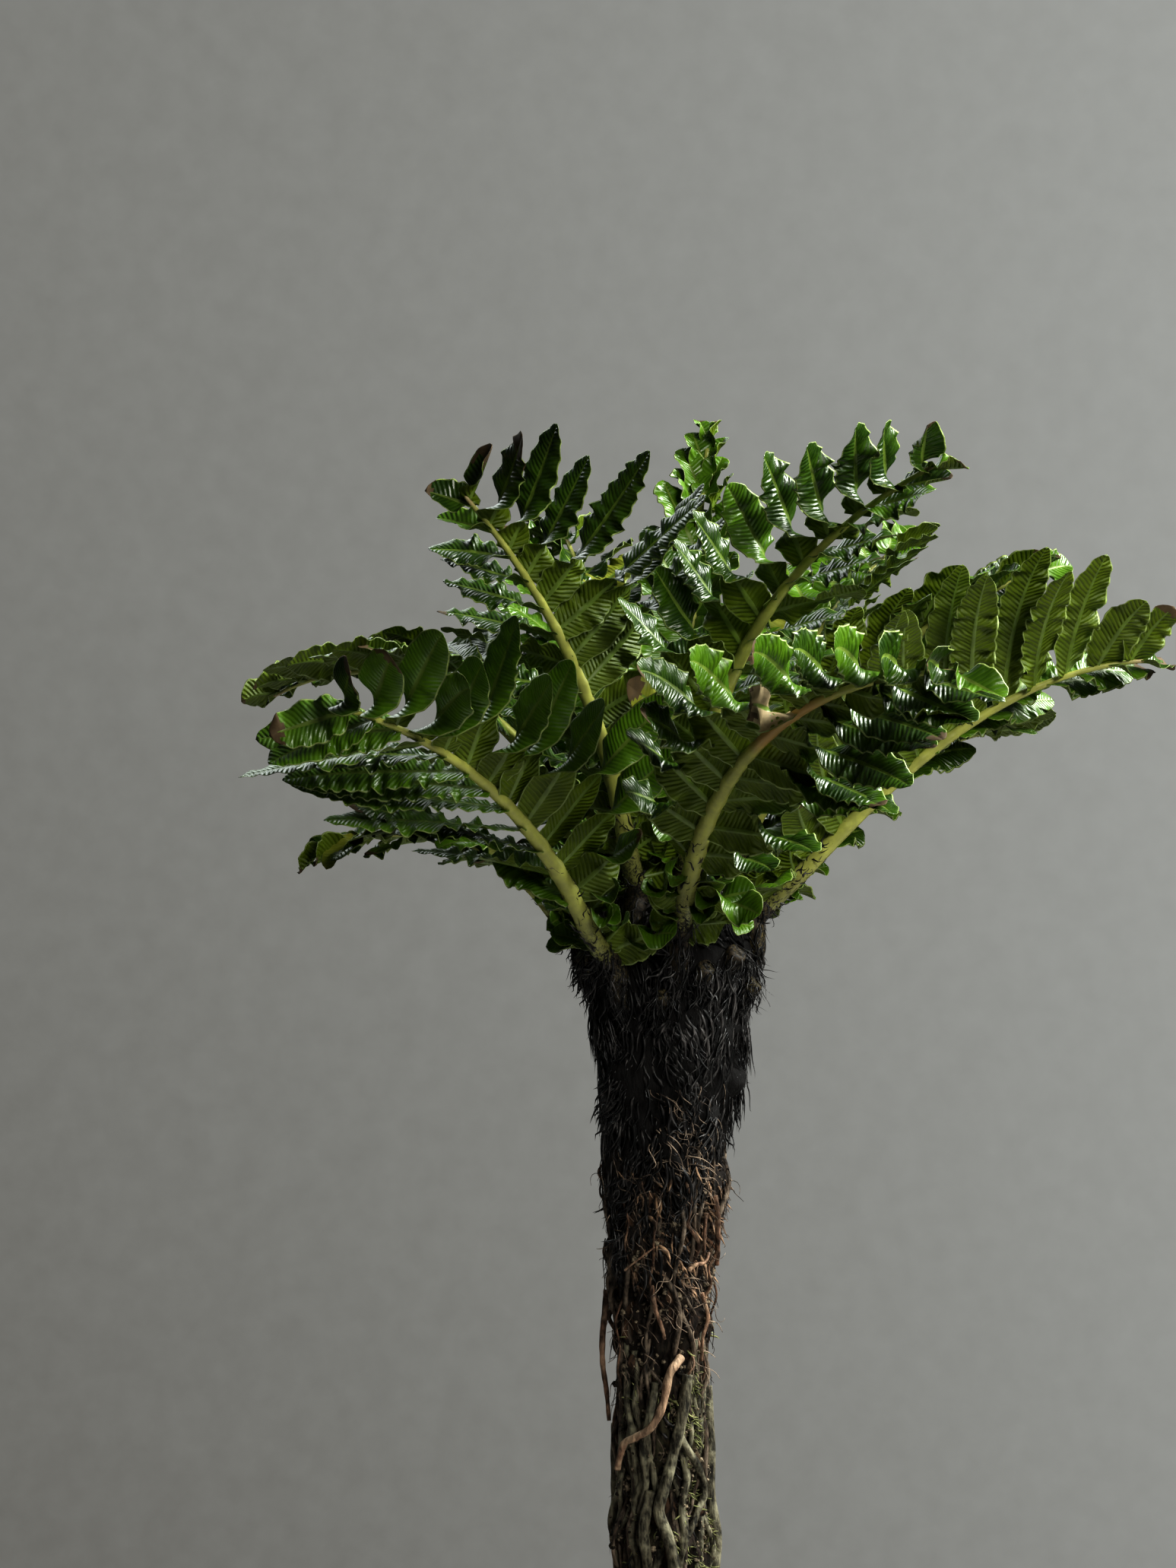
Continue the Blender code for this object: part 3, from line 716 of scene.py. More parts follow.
def falling(sideways):
    """Straight down at every point of the trunk, and so much sideways round it."""
    return np.stack([-sideways * np.sin(trunk_turn), sideways * np.cos(trunk_turn),
                     -np.ones(len(trunk_points))], axis=-1)


scale_cover = step_up(trunk_high + 0.022 * facing(trunk_turn, 215), 0.208, 0.238)
scale_cover = scale_cover * (0.72 + 0.28 * waves(trunk_turn, trunk_high, 31, 9, 5, 0.02))
scale_cover = np.clip(scale_cover, 0.0, 1.0) + 0.03 * (trunk_high > 0.1)
sweep = 0.35 * waves(trunk_turn, trunk_high, 32, 12, 6, 0.018)
sweep += 0.45 * np.sin((trunk_turn - VALLEY) * LOBES) * step_up(0.262 - trunk_high, 0.0, 0.02)
near_top = step_up(trunk_high, CROWN_HEIGHT - 0.004, CROWN_HEIGHT + 0.012)[:, None]
standing = np.stack([0.3 * np.cos(trunk_turn * 3), 0.3 * np.sin(trunk_turn * 2),
                     np.ones(len(trunk_points))], axis=-1)
scale_flow = falling(sweep) * (1 - near_top) + near_top * standing
scale_forms = ribbons(1, SCALE_SHAPES, 7, 0.24)
grow("trunk_scales", "bark", (trunk_mesh, scale_flow, trunk_out), scale_cover, scale_forms, hair,
     Density=430000.0, Smallest=SCALE_SHORT, Largest=SCALE_LONG, Spread=0.32, Lift=0.20, Seed=7)


# ------------------------------------------------------------------ roots
# Aerial roots run down inside and over the coat, some braided tightly round it, one pale root
# hanging loose in front and one thin rusty root standing off the left side.

ROUTE_STEPS = 90


def rope(points, radii, sides):
    """A closed tube through the points: its corner points and its faces."""
    points = np.asarray(points, dtype=float)
    way = np.gradient(points, axis=0)
    way /= np.linalg.norm(way, axis=1)[:, None]
    side = np.cross(way[0], (0.3, 0.9, 0.1))
    angle = np.linspace(0, math.tau, sides, endpoint=False)[:, None]
    rings = []
    for point, along, radius in zip(points, way, radii):
        side = side - along * np.dot(side, along)
        side /= np.linalg.norm(side)
        off = np.cos(angle) * side + np.sin(angle) * np.cross(along, side)
        rings.append(point + radius * off)
    return closed(rings, {0: points[0], -1: points[-1]})


def joined(parts):
    """Several (points, faces) as one."""
    points, faces, first = [], [], 0
    for corners, own in parts:
        points.append(corners)
        faces += [f + first for f in own]
        first += len(corners)
    return np.concatenate(points), faces


def along_route(stops, count):
    """A smooth line through (angle in degrees, height, stand-off) stops down the trunk."""
    stops = np.array(stops, dtype=float)
    part = np.linspace(0, len(stops) - 1, count)
    low = np.minimum(part.astype(int), len(stops) - 2)
    t = (part - low)[:, None]
    before, after = stops[np.maximum(low - 1, 0)], stops[np.minimum(low + 2, len(stops) - 1)]
    first, second = stops[low], stops[low + 1]
    line = 0.5 * (2 * first + (second - before) * t
                  + (2 * before - 5 * first + 4 * second - after) * t ** 2
                  + (3 * first - before - 3 * second + after) * t ** 3)
    angle, height, off = line.T
    return around_axis(trunk_axis(height), trunk_radius(height) + off, np.radians(angle), height)


def knobbly(count, radius, seed, taper, bumps=0.12):
    """The radii of a root that tapers and swells unevenly as it goes."""
    part = np.linspace(0, 1, count)
    draw = np.random.default_rng(seed)
    rough = sum(np.sin(part * draw.uniform(15, 60) + draw.uniform(0, 6)) for _ in range(4)) / 4
    return radius * (1 - taper * part) * (1 + bumps * rough)


def root_finish(name, dark, light, edge, roughness=0.75):
    """Root skin: streaked along, worn to its lighter wood in patches, and painted lighter as a
    highlight where the mesh says so.
    """
    finish = Surface(name, light, roughness, 0.28)
    streak = finish.cloud(0.0012, 5.0, (1.0, 1.0, 0.35)).between(0.35, 0.68)
    worn = finish.cloud(0.005).between(0.45, 0.7) * 0.6
    tone = finish.mixed(worn, finish.mixed(streak, dark, light), edge)
    # Where the mesh marks it, the skin takes the lighter colour as a painted highlight.
    finish.paint(finish.mixed(finish.mark("rubbed") * 0.55, tone, edge))
    finish.emboss(0.7, 0.0004, streak + finish.cloud(0.0025, 4.0))
    return finish


pale_root = root_finish(
    "pale_root", (0.10, 0.056, 0.036), (0.40, 0.250, 0.165), (0.64, 0.48, 0.33), 0.50)
dark_root = root_finish(
    "dark_root", (0.008, 0.006, 0.004), (0.130, 0.095, 0.068), (0.33, 0.265, 0.200))
moss_root = root_finish(
    "mossy_root", (0.008, 0.007, 0.004), (0.160, 0.145, 0.100), (0.43, 0.41, 0.285))
rust_root = root_finish(
    "rust_root", (0.024, 0.013, 0.008), (0.200, 0.112, 0.070), (0.42, 0.280, 0.190))

# Each root that stands alone: its finish, radius and taper, and its way down the trunk
ROOT_ROUTES = {
    "loose_root": (pale_root, 0.00125, 0.30, [
        (291, 0.1705, 0.0008), (284, 0.1692, 0.0022), (276, 0.1665, 0.0034),
        (270, 0.1590, 0.0042), (259, 0.1532, 0.0046), (243, 0.1502, 0.0046),
        (230, 0.1480, 0.0044), (220, 0.1412, 0.0040)]),
    "standing_root": (rust_root, 0.00100, 0.45, [
        (178, 0.1860, 0.0012), (180, 0.1800, 0.0022), (184, 0.1740, 0.0033), (186, 0.1670, 0.0037),
        (183, 0.1600, 0.0030), (186, 0.1520, 0.0026)]),
    "root_strand_1": (moss_root, 0.0015, -0.1, [
        (300, 0.166, 0.0013), (291, 0.154, 0.0022), (283, 0.146, 0.0016), (272, 0.137, 0.0022),
        (266, 0.131, 0.0018), (276, 0.124, 0.0020), (283, 0.113, 0.0016), (277, 0.098, 0.0018),
        (276, 0.081, 0.0016)]),
    "root_strand_2": (moss_root, 0.0014, -0.1, [
        (256, 0.136, 0.0014), (250, 0.127, 0.0020), (254, 0.116, 0.0014), (247, 0.104, 0.0020),
        (240, 0.092, 0.0016), (236, 0.081, 0.0015)]),
    "root_strand_3": (moss_root, 0.0014, -0.1, [
        (20, 0.160, 0.0014), (12, 0.146, 0.0020), (6, 0.130, 0.0015), (-2, 0.112, 0.0018),
        (-12, 0.096, 0.0014), (-18, 0.081, 0.0015)]),
    "root_strand_4": (moss_root, 0.0015, -0.1, [
        (94, 0.164, 0.0014), (87, 0.148, 0.0019), (82, 0.131, 0.0015), (75, 0.113, 0.0020),
        (69, 0.097, 0.0015), (64, 0.081, 0.0016)]),
    "root_strand_5": (moss_root, 0.0014, -0.1, [
        (160, 0.150, 0.0014), (154, 0.136, 0.0019), (149, 0.122, 0.0015), (141, 0.108, 0.0019),
        (136, 0.094, 0.0015), (132, 0.081, 0.0015)]),
}
for seed, (name, (finish, radius, taper, stops)) in enumerate(ROOT_ROUTES.items(), 40):
    radii = knobbly(ROUTE_STEPS, radius, seed, taper)
    root_mesh = mesh_of(name + "_bark", *rope(along_route(stops, ROUTE_STEPS), radii, 12))
    # The pale root is painted lighter where it faces up and to the right, towards the main window:
    # a painted highlight.
    if finish is pale_root:
        upward_right = point_values(root_mesh, "normal") @ (0.45, -0.1, 0.88)
        mark(root_mesh, "rubbed", step_up(upward_right, -0.35, 0.7))
    belongs(link_piece(root_mesh, finish), name)


def wandering(draw, top, low, start, radius, lean, depth):
    """One root of the coat: it wanders as it goes down and dips in and out of the coat."""
    count = max(4, int((top - low) / 0.007))
    angle = start
    stops = []
    for i in range(count + 1):
        angle += draw.normal(lean, 7.0)
        stops.append((angle, top + (low - top) * (i / count), depth + draw.normal(0.0, 0.0006)))
    stops[0] = (*stops[0][:2], -0.0016)
    stops[-1] = (*stops[-1][:2], -0.0014)
    points = along_route(stops, count * 6)
    return rope(points, knobbly(len(points), radius, int(draw.integers(9999)), 0.15), 6)


def bundle(name, finish, amount, tops, drops, radii, lean, depth, seed):
    """Many roots of the coat as one piece: they start and end at drawn heights."""
    draw = np.random.default_rng(seed)
    parts = []
    for _ in range(amount):
        top = draw.uniform(*tops)
        low = max(foot + 0.001, top - draw.uniform(*drops))
        parts.append(wandering(draw, top, low, draw.uniform(0, 360), draw.uniform(*radii),
                               draw.choice((-1, 1)) * lean, depth))
    piece = link_piece(mesh_of(name, *joined(parts)), finish)
    belongs(piece)
    return piece.data


braid_mesh = bundle("braided_roots", moss_root, 34, tops=(0.110, 0.178), drops=(0.030, 0.075),
                    radii=(0.0006, 0.0012), lean=4.0, depth=-0.0003, seed=51)
bundle("dark_roots", dark_root, 84, tops=(0.105, 0.226), drops=(0.014, 0.045),
       radii=(0.0004, 0.0009), lean=2.5, depth=-0.0001, seed=52)
bundle("rust_roots", rust_root, 22, tops=(0.165, 0.222), drops=(0.012, 0.030),
       radii=(0.0003, 0.0007), lean=2.5, depth=0.0006, seed=53)

# Single roots that catch the eye on the near side, each with its seed, radius and way
SINGLE_ROOTS = {
    pale_root: [
        (70, 0.00055, [(293, 0.1936, 0.0022), (300, 0.1950, 0.0026), (309, 0.1953, 0.0026),
                       (319, 0.1974, 0.0014)]),
        (73, 0.00060, [(317, 0.1868, 0.0004), (325, 0.1804, 0.0016), (319, 0.1750, 0.0014),
                       (326, 0.1688, 0.0004)]),
        (75, 0.00030, [(231, 0.1932, 0.0022), (247, 0.1966, 0.0024), (261, 0.1998, 0.0016)])],
    rust_root: [
        (71, 0.00085, [(322, 0.2122, 0.0006), (325, 0.2070, 0.0016), (329, 0.2010, 0.0018),
                       (338, 0.1936, 0.0012)]),
        (72, 0.00060, [(312, 0.2080, 0.0006), (309, 0.2020, 0.0018), (312, 0.1970, 0.0012)]),
        (74, 0.00065, [(257, 0.1895, 0.0004), (262, 0.1834, 0.0016), (268, 0.1792, 0.0014),
                       (272, 0.1755, 0.0002)])],
    moss_root: [
        (76, 0.00115, [(290, 0.1530, 0.0004), (296, 0.1480, 0.0016), (317, 0.1412, 0.0018),
                       (329, 0.1346, 0.0016), (318, 0.1300, 0.0008), (300, 0.1240, 0.0004)]),
        (77, 0.00110, [(262, 0.1640, 0.0004), (255, 0.1560, 0.0014), (246, 0.1470, 0.0014),
                       (250, 0.1380, 0.0012), (240, 0.1300, 0.0004)])],
}
for finish, roots in SINGLE_ROOTS.items():
    parts = []
    for seed, radius, stops in roots:
        line = along_route(stops, 14 * len(stops))
        parts.append(rope(line, knobbly(len(line), radius, seed, 0.25, 0.18), 8))
    belongs(link_piece(mesh_of(finish.owner.name + "_singles", *joined(parts)), finish))


# ------------------------------------------------------------------ fibres, chaff and moss
# Between scales and roots the coat is stuffed with curled brown fibres, crumbs of litter and dry
# rusty chaff, and thin yellow-green moss grows where the light reaches it.

MOSS_HEADING = 325


def curly_fibre(seed, turns, width):
    """A curled fibre one unit long."""
    draw = np.random.default_rng(seed)
    part = np.linspace(0, 1, 11)
    swing = draw.uniform(0.10, 0.24)
    points = np.stack([0.10 + swing * 0.6 * np.sin(part * turns + 1) * part,
                       swing * np.cos(part * turns * 0.8 + draw.uniform(0, 6)), part], axis=-1)
    return mesh_of(f"fibre_{seed}", *rope(points, width * (1 - 0.6 * part), 3))


coat = (trunk_mesh, falling(0.5), trunk_out)
away = (trunk_turn - math.radians(-82) + math.pi) % math.tau - math.pi
front = np.exp(-away ** 2 / 0.16)
band = step_up(trunk_high, 0.206, 0.216) * (1 - step_up(trunk_high, 0.236, 0.244))
low_coat = step_up(trunk_high, 0.150, 0.175) * (1 - step_up(trunk_high, 0.215, 0.232))
patches = np.clip(waves(trunk_turn, trunk_high, 61, 14, 6, 0.014), 0, 1)
fibre_cover = np.clip(front * band + low_coat * (0.22 + 0.45 * patches), 0, 1)
fibre = two_toned("brown_fibre", (0.020, 0.013, 0.009), (0.380, 0.290, 0.215), 0.8, 0.3,
                  0.004, 3.0, 0.4, 0.65)
fibre_forms = [curly_fibre(1, 6.0, 0.022), curly_fibre(2, 8.5, 0.018), curly_fibre(3, 4.0, 0.026)]
grow("trunk_fibres", "bark", coat, fibre_cover, fibre_forms, fibre, Density=260000.0,
     Smallest=0.004, Largest=0.009, Spread=0.8, Lift=0.20, Seed=8)

braid_points = point_values(braid_mesh, "co")
braid_turn, braid_high = np.arctan2(braid_points[:, 1], braid_points[:, 0]), braid_points[:, 2]
braid = (braid_mesh, np.tile((0.0, 0.0, -1.0), (len(braid_points), 1)),
         point_values(braid_mesh, "normal"))
litter_cover = (1 - step_up(trunk_high, 0.196, 0.222)) * np.clip(
    0.55 + 0.6 * waves(trunk_turn, trunk_high, 65, 14, 9, 0.008), 0.05, 1)
braid_cover = np.clip(0.35 + 0.8 * waves(braid_turn, braid_high, 66, 12, 9, 0.008), 0, 1)
litter = two_toned("trunk_litter", (0.008, 0.006, 0.004), (0.330, 0.270, 0.190), 0.9, 0.2,
                   0.0018, 3.0, 0.42, 0.66)
litter_forms = [crumb(seed) for seed in range(20, 25)]
grow("trunk_litter", "bark", coat, litter_cover, litter_forms, litter, Density=330000.0,
     Smallest=0.0008, Largest=0.0030, Spread=0.8, Lift=0.4, Seed=14)
grow("root_litter", "bark", braid, braid_cover, litter_forms, litter, Density=260000.0,
     Smallest=0.0005, Largest=0.0018, Spread=0.8, Lift=0.4, Seed=15)

chaff_cover = step_up(trunk_high, 0.178, 0.200) * (1 - step_up(trunk_high, 0.214, 0.226))
chaff = two_toned("rusty_chaff", (0.050, 0.030, 0.019), (0.42, 0.27, 0.165), 0.75, 0.35,
                  0.003, 3.0, 0.4, 0.65)
chaff_forms = ribbons(11, ((0.2, 0.15, 0.16), (0.35, -0.2, 0.22), (0.05, 0.1, 0.12)), 4)
grow("rusty_chaff", "bark", coat, chaff_cover * facing(trunk_turn, 300) ** 5, chaff_forms, chaff,
     Density=240000.0, Smallest=0.002, Largest=0.0065, Spread=0.6, Lift=0.22, Seed=9)

moss = two_toned("moss", (0.110, 0.120, 0.045), (0.40, 0.41, 0.185), 0.85, 0.3,
                 0.003, 3.0, 0.4, 0.65)
moss_forms = ribbons(21, ((0.3, 0.2, 0.20), (0.5, -0.2, 0.24)), 3)
moss_cover = np.clip(waves(trunk_turn, trunk_high, 71, 12, 5, 0.012) - 0.25, 0, 1)
moss_cover = moss_cover * (1 - step_up(trunk_high, 0.172, 0.186))
moss_cover = moss_cover * (0.16 + 1.4 * facing(trunk_turn, MOSS_HEADING) ** 3)
grow("moss_tufts", "bark", coat, moss_cover, moss_forms, moss, Density=900000.0,
     Smallest=0.0010, Largest=0.0032, Spread=1.2, Lift=0.8, Seed=10)
braid_cover = np.clip(waves(braid_turn, braid_high, 72, 12, 5, 0.012) - 0.3, 0, 1)
braid_cover = braid_cover * (0.10 + 1.2 * facing(braid_turn, MOSS_HEADING) ** 3)
grow("root_moss", "bark", braid, braid_cover, moss_forms, moss, Density=900000.0,
     Smallest=0.0007, Largest=0.0024, Spread=1.2, Lift=0.8, Seed=16)


# ------------------------------------------------------------------ ribs of the fronds
# Each frond's rib is yellow-green, smooth and stiff, as thick as a straw at its foot, where thin
# black scales still cling to it. It thickens a little where each pair of leaflets joins.


def habit(heading, length, seat, rise, end, left, right=None, swing=0, bend=1.0, roll=0):
    """A frond's own way of growing; its sides are alike where only one is given. Angles are in
    degrees: where the rib is seated on the crown, how steeply it leaves it and how steeply it
    ends, how far it swings round, and how far the blade is rolled over. A side holds the lift of
    its leaflets out of the blade at the rib's foot and tip, their angle to the rib there, how far
    they sag, their length against the usual, and their blades' twist at their own foot and tip."""
    return dict(heading=math.radians(heading), length=length, seat=math.radians(seat),
                rise=math.radians(rise), end=math.radians(end), swing=math.radians(swing),
                bend=bend, roll=math.radians(roll), sides={1: left, -1: right or left})


FRONDS = (
    habit(232, 0.118, 6, 67, 10, swing=-10, bend=0.85, roll=20,
          left=(43, 13, 75, 66, 47, 1.08, 0, -125), right=(30, -15, 68, 56, 28, 1.2, -50, -85)),
    habit(274, 0.148, 23, 51, -2, swing=45, bend=1.2, roll=-20,
          left=(0, -36, 75, 27, 62, 1.0, 10, -110), right=(14, 0, 58, 74, 62, 0.9, 15, -115)),
    habit(238, 0.118, 50, 81, 43, swing=-26, bend=0.8, roll=22,
          left=(37, 42, 95, 64, 32, 1.14, 10, -115), right=(22, 6, 88, 50, 45, 0.7, -35, -85)),
    habit(283, 0.148, 60, 81, 20, swing=37, bend=0.7, roll=-10,
          left=(12, -22, 70, 30, 62, 0.62, -34, -84), right=(28, 45, 70, 52, 55, 0.82, 0, -125)),
    habit(350, 0.126, 31, 47, 2, swing=14, bend=2.3, roll=-12,
          left=(22, 12, 78, 50, 40, 0.9, -26, -75), right=(40, 50, 83, 60, 30, 1.08, 20, -10)),
    habit(350, 0.122, 58, 70, 19, swing=14, roll=-10,
          left=(18, 14, 70, 30, 40, 0.75, -26, -75), right=(32, 20, 75, 32, 32, 0.62, 26, -15)),
    habit(164, 0.126, 42, 82, -30, (26, 16, 80, 50, 42, 0.78, 10, -40), bend=1.2),
    habit(112, 0.128, 55, 76, 30, (28, 20, 78, 46, 40, 0.95, 12, -40), swing=-8, roll=8),
    habit(78, 0.134, 66, 82, 56, (32, 26, 70, 26, 38, 0.55, 12, -40)),
    habit(40, 0.132, 52, 78, 24, (28, 18, 74, 36, 42, 0.75, 12, -40), swing=8),
    habit(18, 0.100, 30, 62, 4, (26, 14, 78, 46, 42, 0.9, 12, -40), swing=6, roll=-6),
    habit(140, 0.104, 50, 76, 8, (28, 18, 78, 46, 42, 0.9, 12, -40), swing=6),
    habit(172, 0.082, 16, 72, -28, (6, -10, 80, 50, 45, 0.6, 10, -35), swing=8, bend=0.9),
    habit(116, 0.122, 18, 56, -12, (18, 8, 78, 46, 42, 0.95, 12, -40), swing=10, roll=6),
    habit(66, 0.122, 20, 56, -10, (18, 8, 78, 46, 42, 0.95, 12, -40), swing=-8, roll=-6),
)
SEAT_GAP = 0.0002
RIB_STEPS = 60
RIB_TURN = 0.05             # share of the rib over which it leaves its seat's direction
ROLL_SHARE = 0.25           # share over which the blade rolls over
RIB_BASE = 0.0030
RIB_TIP = 0.0006
RIB_ROUNDED = 0.985         # share from which the tip is rounded off
RIB_SIDES = 14
RIB_RINGS = 190
SHOULDER = 0.13
GROOVE = 0.16
PAIRS = 13
FIRST_PAIR = 0.13
LAST_PAIR = 0.985
SIDE_SHIFT = 0.25
RIB_GREEN = (0.500, 0.520, 0.125)
RIB_OLIVE = (0.370, 0.380, 0.100)
RIB_DULL = (0.100, 0.098, 0.038)
RIB_SCORCHED = (0.470, 0.300, 0.100)
RIB_DRY = (0.42, 0.34, 0.17)
FLECK = (0.010, 0.008, 0.007)
SCORCHED = {2: (0.50, 0.78)}        # the second rib has gone orange-brown between these shares


def unit(vector):
    return vector / np.linalg.norm(vector)


def pointing(climb, heading):
    """The direction that climbs so steeply towards a heading."""
    return np.array([math.cos(climb) * math.cos(heading), math.cos(climb) * math.sin(heading),
                     math.sin(climb)])


def rib_frames(frond):
    """Points of the rib with its direction, left side and upper side there, dome to tip."""
    seat, rise, end = frond["seat"], frond["rise"], frond["end"]
    step = frond["length"] / RIB_STEPS
    point = np.array([CROWN_LEAN, 0.0, CROWN_HEIGHT])
    point = point + (CROWN_RADIUS + SEAT_GAP) * pointing(seat, frond["heading"])
    frames = []
    for k in range(RIB_STEPS + 1):
        share = k / RIB_STEPS
        climb = rise + (end - rise) * share ** frond["bend"]
        climb -= (rise - seat) * math.exp(-share / RIB_TURN)
        swung = frond["heading"] + frond["swing"] * share
        along = pointing(climb, swung)
        left = np.array([-math.sin(swung), math.cos(swung), 0.0])
        up = unit(np.cross(along, left))
        roll = frond["roll"] * min(1.0, share / ROLL_SHARE)
        frames.append((point, along, left * math.cos(roll) + up * math.sin(roll),
                       up * math.cos(roll) - left * math.sin(roll)))
        point = point + along * step
    return frames


def frame_at(frames, share):
    place = min(share, 0.999) * RIB_STEPS
    low = int(place)
    part = place - low
    return [a * (1 - part) + b * part for a, b in zip(frames[low], frames[low + 1])]


def leaflet_places():
    """Side of the rib, 1 for left, and share of its length for each leaflet."""
    span = LAST_PAIR - FIRST_PAIR
    return [(side, FIRST_PAIR + span * (pair + shift) / (PAIRS - 1 + SIDE_SHIFT))
            for pair in range(PAIRS) for side, shift in ((1, SIDE_SHIFT), (-1, 0.0))]


def rib_body(frames):
    """A rib with a shallow groove above and a small shoulder under every leaflet."""
    angle = np.linspace(0, math.tau, RIB_SIDES, endpoint=False)
    shares = np.linspace(0.0, 1.0, RIB_RINGS)
    rings = []
    for share in shares:
        point, _, left, up = frame_at(frames, share)
        shoulders = np.zeros(RIB_SIDES)
        for side, place in leaflet_places():
            near = math.exp(-((share - place - 0.006) / 0.009) ** 2)
            shoulders += near * np.clip(side * np.cos(angle), 0, 1) ** 2
        radius = RIB_TIP + (RIB_BASE - RIB_TIP) * (1.0 - share) ** 1.1
        reach = radius * (0.93 + SHOULDER * shoulders)
        reach = reach * (1 - GROOVE * np.clip(np.sin(angle), 0, 1) ** 4)
        rounded = max(0.0, (share - RIB_ROUNDED) / (1 - RIB_ROUNDED))
        reach = reach * math.sqrt(max(0.02, 1 - rounded ** 2))
        rings.append(point + reach[:, None] * (np.cos(angle)[:, None] * unit(left)
                                               + np.sin(angle)[:, None] * unit(up)))
    return *closed(rings, {0: frames[0][0], -1: frame_at(frames, 1.0)[0]}, clockwise=True), shares


rib_skin = Surface("rib_skin", RIB_GREEN, 0.42, 0.45)
rib_share = rib_skin.mark("along_rib")
flecks = rib_skin.cloud(0.0011, 3.0, warp=1.5).between(0.50, 0.56)
flecks = flecks * (1.0 - rib_share.between(0.03, 0.16))
tone = rib_skin.mixed(rib_skin.cloud(0.004).between(0.35, 0.7), RIB_OLIVE, RIB_GREEN)
tone = rib_skin.mixed((1.0 - rib_share.between(0.05, 0.24)) * 0.6, tone, RIB_DULL)
tone = rib_skin.mixed(rib_skin.mark("scorched"), tone, RIB_SCORCHED)
tone = rib_skin.mixed(rib_share.between(0.955, 0.985), tone, RIB_DRY)
rib_skin.paint(rib_skin.mixed(flecks, tone, FLECK))
rib_skin.emboss(0.3, 0.0003, rib_skin.cloud(0.0016))

rib_forms = ribbons(31, ((0.14, 0.16, 0.11, 8), (0.06, -0.14, 0.09, 9)), 7, 0.3)
frond_frames = [rib_frames(frond) for frond in FRONDS]
for number, frames in enumerate(frond_frames, 1):
    corners, faces, shares = rib_body(frames)
    rib_mesh = mesh_of(f"rib_{number:02d}", corners, faces)
    shares = np.concatenate([np.repeat(shares, RIB_SIDES), [0.0, 1.0]]).astype(np.float32)
    low, high = SCORCHED.get(number, (2.0, 3.0))
    mark(rib_mesh, "along_rib", shares)
    scorched = step_up(shares, low, low + 0.06) * (1 - step_up(shares, high - 0.1, high))
    mark(rib_mesh, "scorched", scorched)
    belongs(link_piece(rib_mesh, rib_skin), f"frond_{number:02d}")
    along = np.array([frame_at(frames, share)[1] for share in shares])
    grow(f"rib_scales_{number:02d}", "frond", (rib_mesh, along, point_values(rib_mesh, "normal")),
         np.clip(1.15 - shares / 0.26, 0, 1) ** 1.6, rib_forms, hair, Density=700000.0,
         Smallest=0.0030, Largest=0.0070, Spread=0.7, Lift=0.20, Seed=80 + number)


# ------------------------------------------------------------------ frond bases
# Below every rib its base runs on down inside the scales of the trunk, a brown swelling flecked
# with black that clasps the trunk. Between them stand the cut ends of fronds that have gone.

BASE_REACH = 0.014          # how far down the trunk a base can be made out
BASE_RADIUS = 0.0026
BASE_STEPS = 26
BASE_SIDES = 12
BASE_DARK = (0.045, 0.030, 0.016)
BASE_BROWN = (0.110, 0.088, 0.036)
BASE_FLECK = (0.006, 0.005, 0.004)
CUT_LEAN = 0.9              # how steeply a cut end stands
CUT_ENDS = (                # heading, height, radius
    (-70, 0.2710, 0.0024), (-48, 0.2745, 0.0028), (-96, 0.2640, 0.0018), (30, 0.2690, 0.0025),
    (95, 0.2720, 0.0026), (150, 0.2680, 0.0024), (200, 0.2735, 0.0026), (-22, 0.2660, 0.0022))


def clasped(heading, seat, down, off):
    """A point on the crown or the trunk, `down` metres below a rib's foot and `off` out of it."""
    rise = seat - down / CROWN_RADIUS
    if rise > 0:
        out, high = (CROWN_RADIUS + off) * math.cos(rise), (CROWN_RADIUS + off) * math.sin(rise)
    else:
        out, high = trunk_radius(CROWN_HEIGHT + rise * CROWN_RADIUS) + off, rise * CROWN_RADIUS
    middle = trunk_axis(min(CROWN_HEIGHT, CROWN_HEIGHT + high))
    return around_axis(middle, out, heading, CROWN_HEIGHT + high)


base_skin = Surface("frond_base", BASE_BROWN, 0.6, 0.4)
tone = base_skin.mixed(base_skin.cloud(0.004).between(0.35, 0.7), BASE_DARK, BASE_BROWN)
flecks = base_skin.cloud(0.0010, warp=1.5).between(0.47, 0.53)
base_skin.paint(base_skin.mixed(flecks, tone, BASE_FLECK))
base_skin.emboss(0.5, 0.0005, base_skin.cloud(0.0014, 4.0))

bases = []
part = np.linspace(0, 1, BASE_STEPS)
for frames, frond in zip(frond_frames, FRONDS):
    line = [frame_at(frames, 0.050)[0], frame_at(frames, 0.022)[0]]
    line += [clasped(frond["heading"], frond["seat"], BASE_REACH * down,
                     0.0006 * (1 - down) ** 0.5 - 0.0024 * down)
             for down in (0.12, 0.3, 0.5, 0.75, 1.0)]
    line = np.array(line)
    stops = np.arange(len(line))
    path = np.stack([np.interp(np.linspace(0, stops[-1], BASE_STEPS), stops, line[:, axis])
                     for axis in range(3)], axis=-1)
    for _ in range(2):
        path[1:-1] = (path[:-2] + path[1:-1] + path[2:]) / 3
    swell = BASE_RADIUS + 0.0007 * np.sin(np.linspace(0.2, 2.9, BASE_STEPS)) - 0.0012 * part ** 2
    swell = swell * (1 + 0.05 * np.sin(np.linspace(0, 19, BASE_STEPS) + frond["heading"]))
    bases.append(rope(path, swell, BASE_SIDES))
for heading, high, radius in CUT_ENDS:
    heading = math.radians(heading)
    way = np.array([math.cos(heading), math.sin(heading), CUT_LEAN])
    start = around_axis(trunk_axis(high), trunk_radius(high) - 0.003, heading, high - 0.002)
    bases.append(rope([start + way * t for t in (0, 0.002, 0.0035, 0.0041, 0.0039)],
                      radius * np.array([1.1, 1.05, 1.0, 0.85, 0.5]), BASE_SIDES))
base_mesh = mesh_of("frond_bases", *joined(bases))
